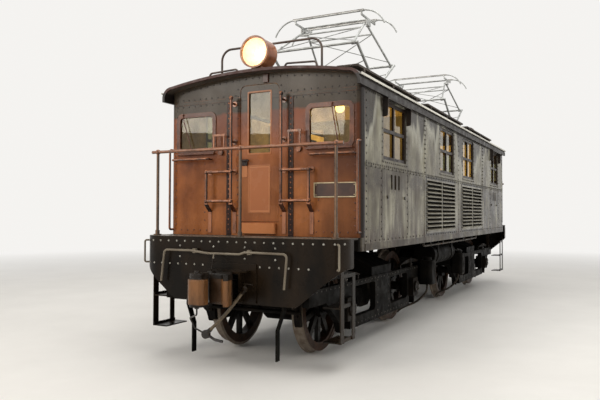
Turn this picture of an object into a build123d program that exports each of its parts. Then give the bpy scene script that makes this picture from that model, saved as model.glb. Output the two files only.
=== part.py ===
from build123d import *
import math
import os

os.makedirs("parts", exist_ok=True)

# An electric box-cab locomotive on two four-wheel bogies, all sizes in millimetres.
# Y runs along the track, X across it and Z up from the tips of the wheel flanges.
# End a is at -Y and end b at +Y: each end, bogie and pantograph is the other turned half round.

# Body
HALF_WIDTH = 1320
HALF_LENGTH = 4620
WALL = 45
CORNER_RADIUS = 65
SIDE_END = HALF_LENGTH - 90
SILL_BOTTOM, SILL_TOP = 1270, 1350
FLOOR_BOTTOM, FLOOR_TOP = 1420, 1445
BELT_Z = 2246

# Roof: a low arch between two rounded shoulders, overhanging both end walls
ROOF_END = 4770
ROOF_THICK = 34
ROOF_CROWN = 3400
ARCH_X, ARCH_Z = 1215, 3288
SHOULDER_X, SHOULDER_Z = HALF_WIDTH + ROOF_THICK, 3165
EAVE_Z = 3103

# Side windows and louvre banks
WINDOW_WIDTH, WINDOW_BOTTOM, WINDOW_HEIGHT = 890, 2345, 722
CAB_WINDOW_Y = 3476
MIDDLE_WINDOW_Y = 800
SIDE_WINDOWS = [-CAB_WINDOW_Y, -MIDDLE_WINDOW_Y, MIDDLE_WINDOW_Y, CAB_WINDOW_Y]
LOUVRE_Y, LOUVRE_WIDTH = 1150, 1820
LOUVRE_BOTTOM, LOUVRE_TOP = 1395, 2216
SLATS = 12
VENT_STEPS = (-145, 0, 145)
VENT_WIDTH, VENT_BOTTOM, VENT_TOP = 68, 1985, 2172

# End wall: windows, doorway and the leaf in it
END_WINDOW_X, END_WINDOW_WIDTH = 925, 550
END_WINDOW_BOTTOM, END_WINDOW_HEIGHT = 2458, 470
DOOR_HALF, DOOR_BOTTOM, DOOR_TOP = 265, 1590, 3233
DOOR_GAP = 6
DOOR_FACE, DOOR_BACK = -HALF_LENGTH + 6, -HALF_LENGTH + 44
DOOR_GLASS_HALF, DOOR_GLASS_BOTTOM, DOOR_GLASS_TOP = 150, 2413, 3143
DOOR_HINGE_X = DOOR_HALF + 16
DOOR_HINGE_Y = -HALF_LENGTH + WALL + 18

# Wheels and axles
TREAD_RADIUS = 535
FLANGE_RADIUS = 563
AXLE_Z = FLANGE_RADIUS
WHEEL_INNER, WHEEL_OUTER = 495, 625
AXLE_RADIUS = 85
JOURNAL_RADIUS = 65
JOURNAL_END = 985
SPOKES = 10
RUN_CLEARANCE = 0.05

# Bogies
BOGIE_Y = 2865
HALF_WHEELBASE = 1300
AXLES = [-BOGIE_Y - HALF_WHEELBASE, -BOGIE_Y + HALF_WHEELBASE]
FRAME_X = (860, 940)
FRAME_TOP = 863
PIVOT_RADIUS = 70
BOLSTER_TOP = 1190

# The deck that each bogie carries in front of the end wall, with its apron
DECK_TOP = 1420
PLATE = 16
DECK_FRONT, DECK_REAR = -5200, -4740
DECK_CORNER = 270
APRON_SIDE_END = -4860
APRON_KNEE_Z, APRON_LOW_X, APRON_LOW_Z, APRON_BOTTOM = 1108, 860, 733, 688
COUPLER_Z = 880
COUPLER_FACE = -5690
KNUCKLE_PIN_X, KNUCKLE_RADIUS = -188, 96
KNUCKLE_PIN_Y = COUPLER_FACE + KNUCKLE_RADIUS
POCKET_HALF, POCKET_Z = 150, (745, 1030)

# Brake hose of end a: from the angle cock beside the coupler across to its coupling head
HOSE_RADIUS = 18.5
HOSE_ROUTE = [(212, -5330, 824), (85, -5332, 668), (-53, -5334, 524), (-188, -5336, 404)]

# Pantographs: two crossed frames of equal arms, so the collector head stays level
PANTO_Y = 2380
PANTO_BASE_Z = 3560
PANTO_HEAD_Z = 4500
PANTO_SPACING = 60
PANTO_ARM = 860
LOWER_X, UPPER_X, HEAD_X = 690, 620, 500
ARM_TUBE = 16
KNUCKLE_Z = (PANTO_BASE_Z + PANTO_HEAD_Z) / 2
ARM_RISE = math.asin((KNUCKLE_Z - PANTO_BASE_Z) / PANTO_ARM)
KNUCKLE_REACH = PANTO_SPACING + PANTO_ARM * math.cos(ARM_RISE)


def block(x, y, z):
    """A box between two limits on each axis."""
    box = Box(x[1] - x[0], y[1] - y[0], z[1] - z[0])
    return Pos((x[0] + x[1]) / 2, (y[0] + y[1]) / 2, (z[0] + z[1]) / 2) * box


def rod_x(radius, x, y, z):
    """A round bar along X."""
    return Pos((x[0] + x[1]) / 2, y, z) * Rot(0, 90, 0) * Cylinder(radius, x[1] - x[0])


def rod_y(radius, x, y, z):
    """A round bar along Y."""
    return Pos(x, (y[0] + y[1]) / 2, z) * Rot(90, 0, 0) * Cylinder(radius, y[1] - y[0])


def rod_z(radius, x, y, z):
    """A round bar along Z."""
    return Pos(x, y, (z[0] + z[1]) / 2) * Cylinder(radius, z[1] - z[0])


def tube(radius, path):
    """A round bar that follows a path."""
    return sweep(Plane(origin=path @ 0, z_dir=path % 0) * Circle(radius), path=path)


def bar(radius, start, end):
    """A straight round bar between two points."""
    return tube(radius, Line(start, end))


def pipe(radius, points, bend):
    """A round pipe of straight runs joined by bends."""
    return tube(radius, FilletPolyline(*points, radius=bend))


def plate_yz(outline, x):
    """A plate across X: an outline of (y, z) points between two x limits."""
    face = make_face(Polyline(*[(x[0], y, z) for y, z in outline], close=True))
    return extrude(face, amount=x[1] - x[0], dir=(1, 0, 0))


def plate_xz(outline, y):
    """A plate across Y: an outline of (x, z) points between two y limits."""
    face = make_face(Polyline(*[(x, y[0], z) for x, z in outline], close=True))
    return extrude(face, amount=y[1] - y[0], dir=(0, 1, 0))


def plate_xy(outline, z):
    """A level plate: an outline of (x, y) points between two z limits."""
    face = make_face(Polyline(*[(x, y, z[0]) for x, y in outline], close=True))
    return extrude(face, amount=z[1] - z[0], dir=(0, 0, 1))


def window_block(x, y, z, radius, axis):
    """A box with its four edges along one axis rounded, to cut or fill an opening."""
    solid = block(x, y, z)
    return fillet(solid.edges().filter_by(axis), radius)


def turned(shape):
    """The same piece half a turn round the locomotive's middle."""
    return Rot(0, 0, 180) * shape


def mirrored(shape):
    """The same piece on the other side of the centre line."""
    return mirror(shape, about=Plane.YZ)


def pair(shape):
    """A piece and its mirror image."""
    return [shape, mirrored(shape)]


def ends(pieces):
    """Pieces of end a and the same pieces at end b."""
    return pieces + [turned(piece) for piece in pieces]


def fused(pieces):
    whole = pieces[0]
    for piece in pieces[1:]:
        whole = whole + piece
    return whole


def save(name, *pieces):
    """Write one node. Pieces that stay apart are kept as solids of one compound."""
    solids = [solid for piece in pieces for solid in piece.solids()]
    shape = solids[0] if len(solids) == 1 else Compound(children=solids)
    export_step(shape, f"parts/{name}.step")


# Underframe: stepped side sills, end beams, two centre beams, and at each bogie
# a bolster with its centre plate and pivot pin
def underframe():
    sill_section = [(1180, SILL_BOTTOM), (1326, SILL_BOTTOM), (1326, SILL_TOP),
                    (HALF_WIDTH - WALL, SILL_TOP), (HALF_WIDTH - WALL, FLOOR_BOTTOM),
                    (1180, FLOOR_BOTTOM)]
    inner_end = SIDE_END
    sill = plate_xz(sill_section, (-inner_end, inner_end))
    end_beam = block((-HALF_WIDTH, HALF_WIDTH), (-HALF_LENGTH - 40, -inner_end),
                     (SILL_BOTTOM, FLOOR_BOTTOM))
    end_beam = fillet(end_beam.edges().filter_by(Axis.Z).group_by(Axis.Y)[0], 40)
    bolster = block((-1180, 1180), (-BOGIE_Y - 210, -BOGIE_Y + 210), (SILL_BOTTOM, FLOOR_BOTTOM))
    centre_plate = rod_z(270, 0, -BOGIE_Y, (SILL_BOTTOM - 30, SILL_BOTTOM))
    pivot_pin = rod_z(PIVOT_RADIUS, 0, -BOGIE_Y, (1000, SILL_BOTTOM - 30))
    end = fused([end_beam, bolster, centre_plate, pivot_pin])
    centre_beams = [block((x, x + 90), (-inner_end, inner_end), (SILL_BOTTOM + 30, FLOOR_BOTTOM))
                    for x in (-340, 250)]
    return fused(pair(sill) + [end, turned(end)] + centre_beams)


def floor_plate():
    return block((-HALF_WIDTH + WALL, HALF_WIDTH - WALL),
                 (-HALF_LENGTH + WALL, HALF_LENGTH - WALL), (FLOOR_BOTTOM, FLOOR_TOP))


# Side wall: one plate between the corner posts with its window and louvre openings,
# a belt strip on the seam under the windows, a cover strip on each panel joint and three
# slots that let air into each cab
def side_wall():
    wall = block((HALF_WIDTH - WALL, HALF_WIDTH), (-SIDE_END, SIDE_END), (SILL_TOP, SHOULDER_Z))
    belt = block((HALF_WIDTH, HALF_WIDTH + 5), (-SIDE_END, SIDE_END), (BELT_Z - 20, BELT_Z + 20))
    strips = [block((HALF_WIDTH, HALF_WIDTH + 4), (y - 35, y + 35), (SILL_TOP, EAVE_Z))
              for y in (-2134, 2134)]
    wall = fused([wall, belt] + strips)
    openings = [(y, WINDOW_WIDTH, WINDOW_BOTTOM, WINDOW_BOTTOM + WINDOW_HEIGHT)
                for y in SIDE_WINDOWS]
    openings += [(y, LOUVRE_WIDTH, LOUVRE_BOTTOM, LOUVRE_TOP) for y in (-LOUVRE_Y, LOUVRE_Y)]
    for y, width, bottom, top in openings:
        wall -= block((1200, 1400), (y - width / 2, y + width / 2), (bottom, top))
    for cab_y in (-CAB_WINDOW_Y, CAB_WINDOW_Y):
        for step in VENT_STEPS:
            y = (cab_y + step - VENT_WIDTH / 2, cab_y + step + VENT_WIDTH / 2)
            wall -= window_block((1200, 1400), y, (VENT_BOTTOM, VENT_TOP), 18, Axis.X)
    return wall


# Sashes: a frame with a mullion and a rail, set back in each side window
SASH_X = (HALF_WIDTH - 42, HALF_WIDTH - 16)
SASH_BAR = 42


def sash(y):
    low, high = y - WINDOW_WIDTH / 2, y + WINDOW_WIDTH / 2
    top = WINDOW_BOTTOM + WINDOW_HEIGHT
    rail_z = WINDOW_BOTTOM + WINDOW_HEIGHT / 2
    frame = block(SASH_X, (low, high), (WINDOW_BOTTOM, top))
    for pane_y in ((low + SASH_BAR, y - SASH_BAR / 2), (y + SASH_BAR / 2, high - SASH_BAR)):
        for pane_z in ((WINDOW_BOTTOM + SASH_BAR, rail_z - SASH_BAR / 2),
                       (rail_z + SASH_BAR / 2, top - SASH_BAR)):
            frame -= block((1200, 1400), pane_y, pane_z)
    return frame


def side_glass(y):
    return block((SASH_X[0] - 6, SASH_X[0]), (y - WINDOW_WIDTH / 2, y + WINDOW_WIDTH / 2),
                 (WINDOW_BOTTOM, WINDOW_BOTTOM + WINDOW_HEIGHT))


# Louvres: each bank is a frame with a centre post, its two columns filled with slanting slats
def louvre_bank(y):
    low, high = y - LOUVRE_WIDTH / 2, y + LOUVRE_WIDTH / 2
    edge = 34
    depth = (HALF_WIDTH - WALL, HALF_WIDTH + 4)
    lip_x = HALF_WIDTH + 20
    pitch = (LOUVRE_TOP - LOUVRE_BOTTOM - 2 * edge) / SLATS
    bank = block(depth, (low, high), (LOUVRE_BOTTOM, LOUVRE_TOP))
    for column in ((low + edge, y - edge / 2), (y + edge / 2, high - edge)):
        bank -= block((1200, 1400), column, (LOUVRE_BOTTOM + edge, LOUVRE_TOP - edge))
        for index in range(SLATS):
            z = LOUVRE_BOTTOM + edge + pitch * index
            section = [(depth[0], z + pitch * 0.84), (depth[0], z + pitch * 0.96),
                       (lip_x, z + pitch * 0.22), (lip_x, z + pitch * 0.06)]
            bank += plate_xz(section, column)
    return bank


# Awnings: a shallow bonnet over each cab window between two cheeks
def awning(y):
    half, reach, sheet = 468, 70, 8
    top, low = WINDOW_BOTTOM + WINDOW_HEIGHT + 30, 2855
    wall_x, lip_x = HALF_WIDTH, HALF_WIDTH + reach
    bonnet = plate_xz([(wall_x, top), (lip_x, top - 18), (lip_x, top - 26), (wall_x, top - 8)],
                      (y - half, y + half))
    cheek = [(wall_x, top - 8), (lip_x, top - 26), (lip_x - 8, low + 14), (lip_x - 26, low),
             (wall_x, low)]
    cheeks = [plate_xz(cheek, (at, at + sheet)) for at in (y - half, y + half - sheet)]
    return fused([bonnet] + cheeks)


# Roof: the arch and its two shoulders as one shell, open underneath and at both ends,
# with a rain gutter along each shoulder
def roof_outline(inset):
    """The face inside the roof's outer line, or inside one set in by a thickness."""
    crown_z = ROOF_CROWN - inset
    arch_x, arch_z = ARCH_X - inset * 0.5, ARCH_Z - inset * 0.87
    side_x = SHOULDER_X - inset
    drop = crown_z - arch_z
    arch_radius = (arch_x ** 2 + drop ** 2) / (2 * drop)
    quarter_z = crown_z - arch_radius + math.sqrt(arch_radius ** 2 - (arch_x / 2) ** 2)
    bend_x = arch_x + (side_x - arch_x) * 0.72
    bend_z = arch_z - (arch_z - SHOULDER_Z) * 0.36
    lines = [Line((-side_x, 0, EAVE_Z), (side_x, 0, EAVE_Z))]
    for side in (1, -1):
        lines.append(ThreePointArc((0, 0, crown_z), (side * arch_x / 2, 0, quarter_z),
                                   (side * arch_x, 0, arch_z)))
        lines.append(ThreePointArc((side * arch_x, 0, arch_z), (side * bend_x, 0, bend_z),
                                   (side * side_x, 0, SHOULDER_Z)))
        lines.append(Line((side * side_x, 0, SHOULDER_Z), (side * side_x, 0, EAVE_Z)))
    return make_face(lines)


def under_roof(half_length):
    return extrude(roof_outline(ROOF_THICK), amount=half_length, dir=(0, 1, 0), both=True)


def roof_shell():
    shell = extrude(roof_outline(0), amount=ROOF_END, dir=(0, 1, 0), both=True)
    gutter = [(1330, 3202), (1374, 3202), (1374, 3226), (1368, 3226), (1368, 3208), (1330, 3208)]
    return fused([shell - under_roof(ROOF_END)] + pair(plate_xz(gutter, (-ROOF_END, ROOF_END))))


def end_wall_body():
    """The solid inside the end wall's outer surface."""
    body = block((-HALF_WIDTH, HALF_WIDTH), (-HALF_LENGTH, -SIDE_END), (FLOOR_BOTTOM, ROOF_CROWN))
    return fillet(body.edges().filter_by(Axis.Z).group_by(Axis.Y)[0], CORNER_RADIUS)


# End wall of end a: a plate whose rounded corners turn back to the side walls, rising to
# the roof, with its doorway, two windows, a threshold, a cover strip on the seam, a post on
# each side of the door and the catch of the door's latch
def end_wall():
    front, back, inner = -HALF_LENGTH, -SIDE_END, HALF_WIDTH - WALL
    full = end_wall_body()
    full -= block((-inner, inner), (front + WALL, back + 1), (FLOOR_BOTTOM, ROOF_CROWN))
    lower = block((-1400, 1400), (front - 1, back + 1), (FLOOR_BOTTOM, SHOULDER_Z))
    wall = (full & lower) + (full & under_roof(HALF_LENGTH + 1))
    seam = block((-HALF_WIDTH + CORNER_RADIUS, HALF_WIDTH - CORNER_RADIUS), (front - 4, front),
                 (3062, 3102))
    posts = [block((x - 34, x + 34), (front - 8, front), (FLOOR_TOP, 3062)) for x in (-430, 430)]
    sill = window_block((-236, 236), (front - 46, front), (1446, DOOR_BOTTOM - 20), 20, Axis.Z)
    catch = block((-312, -276), (front - 24, front), (2300, 2346))
    wall = fused([wall, seam, sill, catch] + posts)
    half = DOOR_HALF + DOOR_GAP
    doorway = block((-half, half), (front - 20, back + 1),
                    (DOOR_BOTTOM - DOOR_GAP, DOOR_TOP + DOOR_GAP))
    doorway = fillet(doorway.edges().filter_by(Axis.Y).group_by(Axis.Z)[-1], 76)
    wall -= doorway
    for x in (-END_WINDOW_X, END_WINDOW_X):
        wall -= end_window_block(x, END_WINDOW_WIDTH, END_WINDOW_HEIGHT, (front - 20, back + 1), 60)
    return wall


def end_window_block(x, width, height, y, radius):
    middle = END_WINDOW_BOTTOM + END_WINDOW_HEIGHT / 2
    return window_block((x - width / 2, x + width / 2), y,
                        (middle - height / 2, middle + height / 2), radius, Axis.Y)


# Window rings of end a: a raised ring round each end window, a ledge under it and its wiper,
# an arm that hangs from a spindle in the top of the ring. Columns: spindle x and z, tip x and z
WIPERS = {
    END_WINDOW_X: (956, 2940, 1043, 2478),
    -END_WINDOW_X: (-1130, 2940, -985, 2500),
}


def end_window_ring(x):
    width, height, lip = END_WINDOW_WIDTH, END_WINDOW_HEIGHT, 26
    front = -HALF_LENGTH
    ring = end_window_block(x, width, height, (front - 12, front + 32), 60)
    ring -= end_window_block(x, width - 2 * lip, height - 2 * lip, (front - 13, front + 33), 40)
    flange = end_window_block(x, width + 2 * lip, height + 2 * lip, (front - 12, front), 80)
    flange -= end_window_block(x, width - 2, height - 2, (front - 13, front + 1), 60)
    ledge = block((x - 290, x + 290), (front - 44, front - 12),
                  (END_WINDOW_BOTTOM - 34, END_WINDOW_BOTTOM - 18))
    spindle_x, spindle_z, tip_x, tip_z = WIPERS[x]
    spindle = rod_y(13, spindle_x, (front - 34, front - 6), spindle_z)
    arm = bar(6, (spindle_x, front - 27, spindle_z), (tip_x, front - 27, tip_z))
    return fused([ring, flange, ledge, spindle, arm])


def end_glass(x):
    width, height = END_WINDOW_WIDTH - 52, END_WINDOW_HEIGHT - 52
    return end_window_block(x, width, height, (-HALF_LENGTH + 10, -HALF_LENGTH + 16), 40)


# Door of end a: a leaf with rounded top corners, a window, a moulded lower panel, a latch
# with its lever and a lock plate, hung on three barrels that turn on the wall's hinge pins
HINGE_HEIGHTS = [1900, 2400, 2900]
BARREL = 11
PIN = 6


def door_leaf():
    leaf = block((-DOOR_HALF, DOOR_HALF), (DOOR_FACE, DOOR_BACK), (DOOR_BOTTOM, DOOR_TOP))
    leaf = fillet(leaf.edges().filter_by(Axis.Y).group_by(Axis.Z)[-1], 70)
    leaf -= door_window(0, (DOOR_FACE - 1, DOOR_BACK + 1))
    moulding = block((-155, 155), (DOOR_FACE - 5, DOOR_FACE), (1690, 2268))
    moulding -= block((-137, 137), (DOOR_FACE - 5, DOOR_FACE), (1708, 2250))
    bead = door_window(18, (DOOR_FACE - 5, DOOR_FACE)) - door_window(0, (DOOR_FACE - 6, DOOR_FACE))
    latch = block((-240, -160), (DOOR_FACE - 24, DOOR_FACE), (2266, 2340))
    lever = rod_x(10, (-250, -128), DOOR_FACE - 42, 2322)
    spindle = rod_y(12, -206, (DOOR_FACE - 42, DOOR_FACE - 24), 2322)
    lock = window_block((-241, -163), (DOOR_FACE - 8, DOOR_FACE), (2126, 2262), 14, Axis.Y)
    pieces = [leaf, moulding, bead, latch, lever, spindle, lock]
    for z in HINGE_HEIGHTS:
        strap = block((180, DOOR_HALF - 2), (DOOR_BACK, DOOR_BACK + 10), (z - 30, z + 30))
        arm = block((220, DOOR_HINGE_X), (DOOR_BACK + 6, DOOR_BACK + 16), (z - 30, z + 30))
        barrel = rod_z(BARREL, DOOR_HINGE_X, DOOR_HINGE_Y, (z - 30, z + 30))
        pieces += [strap, arm, barrel]
    leaf = fused(pieces)
    return leaf - rod_z(PIN + RUN_CLEARANCE, DOOR_HINGE_X, DOOR_HINGE_Y, (1500, 3200))


def door_window(border, y):
    return window_block((-DOOR_GLASS_HALF - border, DOOR_GLASS_HALF + border), y,
                        (DOOR_GLASS_BOTTOM - border, DOOR_GLASS_TOP + border), 16, Axis.Y)


def door_glass():
    return door_window(0, (DOOR_FACE + 16, DOOR_FACE + 22))


def door_hinges():
    pieces = []
    for z in HINGE_HEIGHTS:
        pin = rod_z(PIN, DOOR_HINGE_X, DOOR_HINGE_Y, (z - 60, z + 60))
        for low in (z - 60, z + 31):
            foot = block((DOOR_HINGE_X, DOOR_HINGE_X + 70),
                         (-HALF_LENGTH + WALL, DOOR_HINGE_Y), (low, low + 29))
            pin += foot + rod_z(BARREL, DOOR_HINGE_X, DOOR_HINGE_Y, (low, low + 29))
        pieces.append(pin)
    return pieces


# Climbing irons of end a: on each side of the door a tall handrail, a short outer rail and
# two rungs between them on ball fittings, with straps that bend back to the wall below them
RAIL_Y = -HALF_LENGTH - 92
RUNG_LOW, RUNG_HIGH, RAIL_TOP = 1835, 2193, 3085
INNER_RAIL_X, OUTER_RAIL_X = 345, 705


def ladder():
    front = -HALF_LENGTH
    pieces = [rod_z(17, INNER_RAIL_X, RAIL_Y, (RUNG_LOW, RAIL_TOP)),
              rod_z(17, OUTER_RAIL_X, RAIL_Y, (RUNG_LOW, RUNG_HIGH)),
              Pos(INNER_RAIL_X, RAIL_Y, RAIL_TOP) * Sphere(26)]
    for z in (RUNG_LOW, RUNG_HIGH):
        pieces.append(rod_x(17, (INNER_RAIL_X, OUTER_RAIL_X), RAIL_Y, z))
        pieces += [Pos(x, RAIL_Y, z) * Sphere(26) for x in (INNER_RAIL_X, OUTER_RAIL_X)]
    feet = [(INNER_RAIL_X, RUNG_HIGH), (INNER_RAIL_X, 2558), (INNER_RAIL_X, 3022),
            (OUTER_RAIL_X, RUNG_HIGH)]
    for x, z in feet:
        pieces.append(rod_y(13, x, (RAIL_Y, front - 10), z))
        pieces.append(rod_y(34, x, (front - 10, front), z))
    strap = [(RAIL_Y - 6, RUNG_LOW), (RAIL_Y - 6, RUNG_LOW - 42), (front - 10, RUNG_LOW - 132),
             (front - 10, 1448), (front, 1448), (front, RUNG_LOW - 124),
             (RAIL_Y + 6, RUNG_LOW - 34), (RAIL_Y + 6, RUNG_LOW)]
    pieces += [plate_yz(strap, (x - 24, x + 24)) for x in (INNER_RAIL_X, OUTER_RAIL_X)]
    return fused(pieces)


def grab_rails():
    front = -HALF_LENGTH
    level = pipe(14, [(700, front, 2363), (700, front - 78, 2363), (1246, front - 78, 2363),
                      (1246, front, 2363)], 26)
    corner = pipe(14, [(1290, front + 20, 1480), (1290, front - 66, 1480),
                       (1290, front - 66, 2498), (1290, front + 20, 2498)], 26)
    return [level, corner - end_wall_body()]


def lamp_bracket():
    """A marker lamp's iron: a bar on two legs that turn back to the wall, over a socket."""
    front = -HALF_LENGTH
    pieces = [block((430, 612), (front - 96, front - 84), (2630, 2656))]
    for x, foot in ((447, front - 8), (593, front)):
        pieces.append(block((x - 10, x + 10), (front - 96, front - 84), (2470, 2630)))
        pieces.append(block((x - 10, x + 10), (front - 84, foot), (2470, 2482)))
    return fused(pieces)


def lamp_socket():
    return rod_y(32, 540, (-HALF_LENGTH - 34, -HALF_LENGTH), 2436)


# Headlight of end a: a drum with a domed back and a rim, open to the front, on a saddle
LAMP_Z = 3604
LAMP_FRONT = -HALF_LENGTH - 140


def headlight():
    rim, drum, wall = 192, 182, 10
    back = LAMP_FRONT + 350
    outline = [
        Line((0, rim), (26, rim)), Line((26, rim), (26, drum)), Line((26, drum), (250, drum)),
        ThreePointArc((250, drum), (322, 118), (350, 0)), Line((350, 0), (338, 0)),
        ThreePointArc((338, 0), (312, 108), (246, drum - wall)),
        Line((246, drum - wall), (0, drum - wall)), Line((0, drum - wall), (0, rim)),
    ]
    shell = revolve(make_face(outline), axis=Axis.X)
    shell = Pos(0, LAMP_FRONT, LAMP_Z) * Rot(0, 0, 90) * shell
    saddle = block((-70, 70), (LAMP_FRONT + 60, back - 60), (3384, LAMP_Z - drum + 12))
    saddle -= rod_y(drum - 2, 0, (LAMP_FRONT, back), LAMP_Z)
    saddle -= under_roof_cut()
    return shell + saddle


def under_roof_cut():
    """Everything below the roof's outer surface, to seat what stands on it."""
    return extrude(roof_outline(0), amount=ROOF_END + 40, dir=(0, 1, 0), both=True)


def headlight_glass():
    return rod_y(172, 0, (LAMP_FRONT + 12, LAMP_FRONT + 20), LAMP_Z)


# Roof fittings: walkways on feet, cable hoops and grab bars
WALK_TOP = 3452


def walkway(y):
    boards = [block((x, x + 86), y, (WALK_TOP - 26, WALK_TOP)) for x in (850, 944, 1038)]
    cleats = []
    span = y[1] - y[0]
    for place in (0.08, 0.5, 0.92):
        middle = y[0] + span * place
        cleats.append(block((850, 1124), (middle - 25, middle + 25), (WALK_TOP - 66, WALK_TOP - 26)))
        cleats.append(block((880, 910), (middle - 25, middle + 25), (3300, WALK_TOP - 66)))
        cleats.append(block((1064, 1094), (middle - 25, middle + 25), (3290, WALK_TOP - 66)))
    return fused(boards + cleats) - under_roof_cut()


def roof_hoop():
    y, half, top = -4370, 710, 3785
    hoop = pipe(14, [(-half, y, 3300), (-half, y, top), (half, y, top), (half, y, 3300)], 140)
    return hoop - under_roof_cut()


def roof_grab():
    y = -4590
    grab = pipe(12, [(330, y, 3330), (330, y, 3462), (745, y, 3445), (745, y, 3300)], 40)
    return grab - under_roof_cut()


# Pantograph of end a, with its base. A lower frame turns on the base, an upper frame turns
# on the lower frame's knuckle tube, and the head turns on the upper frame's eyes.
def panto_base():
    y = -PANTO_Y
    rails = [block((x - 25, x + 25), (y - 640, y + 640), (3462, 3510)) for x in (-760, 760)]
    ties = [block((-735, 735), (y + at - 25, y + at + 25), (3462, 3496)) for at in (-600, 0, 600)]
    bearings = []
    for x in (-760, 760):
        for at in (-PANTO_SPACING, PANTO_SPACING):
            bearings.append(block((x - 16, x + 16), (y + at - 40, y + at + 40),
                                  (3510, PANTO_BASE_Z)))
            bearings.append(rod_x(40, (x - 16, x + 16), y + at, PANTO_BASE_Z))
    base = fused(rails + ties + bearings)
    for at in (-PANTO_SPACING, PANTO_SPACING):
        base -= rod_x(20 + RUN_CLEARANCE, (-800, 800), y + at, PANTO_BASE_Z)
    return base


def panto_insulators():
    y = -PANTO_Y
    cut = under_roof_cut()
    stacks = []
    for x in (-760, 760):
        for at in (-560, 560):
            stack = rod_z(30, x, y + at, (3330, 3462))
            for z in (3376, 3408, 3440):
                stack += rod_z(54, x, y + at, (z - 8, z + 8))
            stacks.append(stack - cut)
    return stacks


def lower_frame():
    """The front lower frame: torque tube, two arms, knuckle tube and a stay."""
    y = -PANTO_Y
    base_y, knuckle_y = y - PANTO_SPACING, y - KNUCKLE_REACH
    arm_x = LOWER_X - 20
    pieces = [rod_x(34, (-740, 740), base_y, PANTO_BASE_Z),
              rod_x(20, (-784, 784), base_y, PANTO_BASE_Z),
              rod_x(18, (-LOWER_X, LOWER_X), knuckle_y, KNUCKLE_Z)]
    for x in (-arm_x, arm_x):
        pieces.append(bar(ARM_TUBE + 4, (x, base_y, PANTO_BASE_Z), (x, knuckle_y, KNUCKLE_Z)))
    far = 0.6
    stay_y = base_y + (knuckle_y - base_y) * far
    stay_z = PANTO_BASE_Z + (KNUCKLE_Z - PANTO_BASE_Z) * far
    for side in (-1, 1):
        pieces.append(bar(7, (-side * arm_x, base_y, PANTO_BASE_Z), (side * arm_x, stay_y, stay_z)))
    return fused(pieces)


def upper_frame():
    """The front upper frame: two sleeves on the knuckle tube, arms, stays and head eyes."""
    knuckle = Vector(0, -PANTO_Y - KNUCKLE_REACH, KNUCKLE_Z)
    eye = Vector(0, -PANTO_Y - PANTO_SPACING, PANTO_HEAD_Z)

    def on_arm(side, share):
        """A point on one arm's centre line, a share of the way from knuckle to eye."""
        x = side * (UPPER_X + (HEAD_X - UPPER_X) * share)
        return Vector(x, 0, 0) + knuckle + (eye - knuckle) * share

    pieces = []
    for side in (1, -1):
        sleeve_x = sorted((side * (UPPER_X - 26), side * (UPPER_X + 26)))
        eye_x = sorted((side * (HEAD_X - 13), side * (HEAD_X + 13)))
        pieces.append(rod_x(30, sleeve_x, knuckle.Y, knuckle.Z))
        pieces.append(rod_x(22, eye_x, eye.Y, eye.Z))
        pieces.append(bar(ARM_TUBE, on_arm(side, 0.024), on_arm(side, 0.982)))
        pieces.append(bar(7, on_arm(side, 0.1), on_arm(-side, 0.8)))
    pieces.append(bar(12, on_arm(-1, 0.8), on_arm(1, 0.8)))
    frame = fused(pieces)
    frame -= rod_x(18 + RUN_CLEARANCE, (-700, 700), knuckle.Y, knuckle.Z)
    return frame - rod_x(10 + RUN_CLEARANCE, (-540, 540), eye.Y, eye.Z)


SHOE_Y = 270
SHOE_HALF = 575
SHOE_TOP = 4643


def panto_head():
    """Two shoes with drooping horns on cross beams, hung from four pins."""
    y = -PANTO_Y
    horn_end_x, horn_end_z = 885, 4406
    pieces = []
    for at in (-SHOE_Y, SHOE_Y):
        shoe_y = y + at
        pieces.append(block((-SHOE_HALF, SHOE_HALF), (shoe_y - 24, shoe_y + 24),
                            (SHOE_TOP - 24, SHOE_TOP)))
        rise = SHOE_TOP - 12 - horn_end_z
        run = horn_end_x - SHOE_HALF + 20
        turn = 2 * math.atan(rise / run)
        radius = run / math.sin(turn)
        middle = (SHOE_HALF - 20 + radius * math.sin(turn / 2), shoe_y,
                  SHOE_TOP - 12 - radius * (1 - math.cos(turn / 2)))
        arc = ThreePointArc((SHOE_HALF - 20, shoe_y, SHOE_TOP - 12), middle,
                            (horn_end_x, shoe_y, horn_end_z))
        pieces += pair(tube(11, arc))
    beam_z = (4560, 4590)
    for side in (1, -1):
        outer = tuple(sorted((side * (HEAD_X + 28), side * (HEAD_X + 44))))
        pieces.append(block(outer, (y - SHOE_Y - 16, y + SHOE_Y + 16), beam_z))
        pieces.append(block(outer, (y - 84, y + 84), (PANTO_HEAD_Z - 20, beam_z[0])))
        for at in (-SHOE_Y, SHOE_Y):
            pieces.append(block(outer, (y + at - 16, y + at + 16), (beam_z[1], SHOE_TOP - 24)))
        for at in (-PANTO_SPACING, PANTO_SPACING):
            pin = tuple(sorted((side * (HEAD_X - 24), side * (HEAD_X + 28))))
            pieces.append(rod_x(10, pin, y + at, PANTO_HEAD_Z))
    pieces.append(rod_x(12, (-HEAD_X - 28, HEAD_X + 28), y, beam_z[0] + 15))
    return fused(pieces)


def rear_of_panto(shape):
    """A front frame turned half round the pantograph's own middle."""
    return Pos(0, -PANTO_Y, 0) * Rot(0, 0, 180) * Pos(0, PANTO_Y, 0) * shape


# Inside, as far as it shows through the windows: cab partitions with a doorway, a control
# stand and a seat in each cab, and the electrical gear between the cabs as one block
def partition():
    y = (-2180, -2140)
    plate = block((-HALF_WIDTH + WALL, HALF_WIDTH - WALL), y, (FLOOR_TOP, 3130))
    return plate - block((-880, -280), (y[0] - 1, y[1] + 1), (FLOOR_TOP, 3000))


def control_stand():
    stand = block((660, 1000), (-4290, -4060), (FLOOR_TOP, 2350))
    stand = fillet(stand.edges().filter_by(Axis.Z), 60)
    return stand + rod_z(150, 830, -4175, (2350, 2400))


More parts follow.
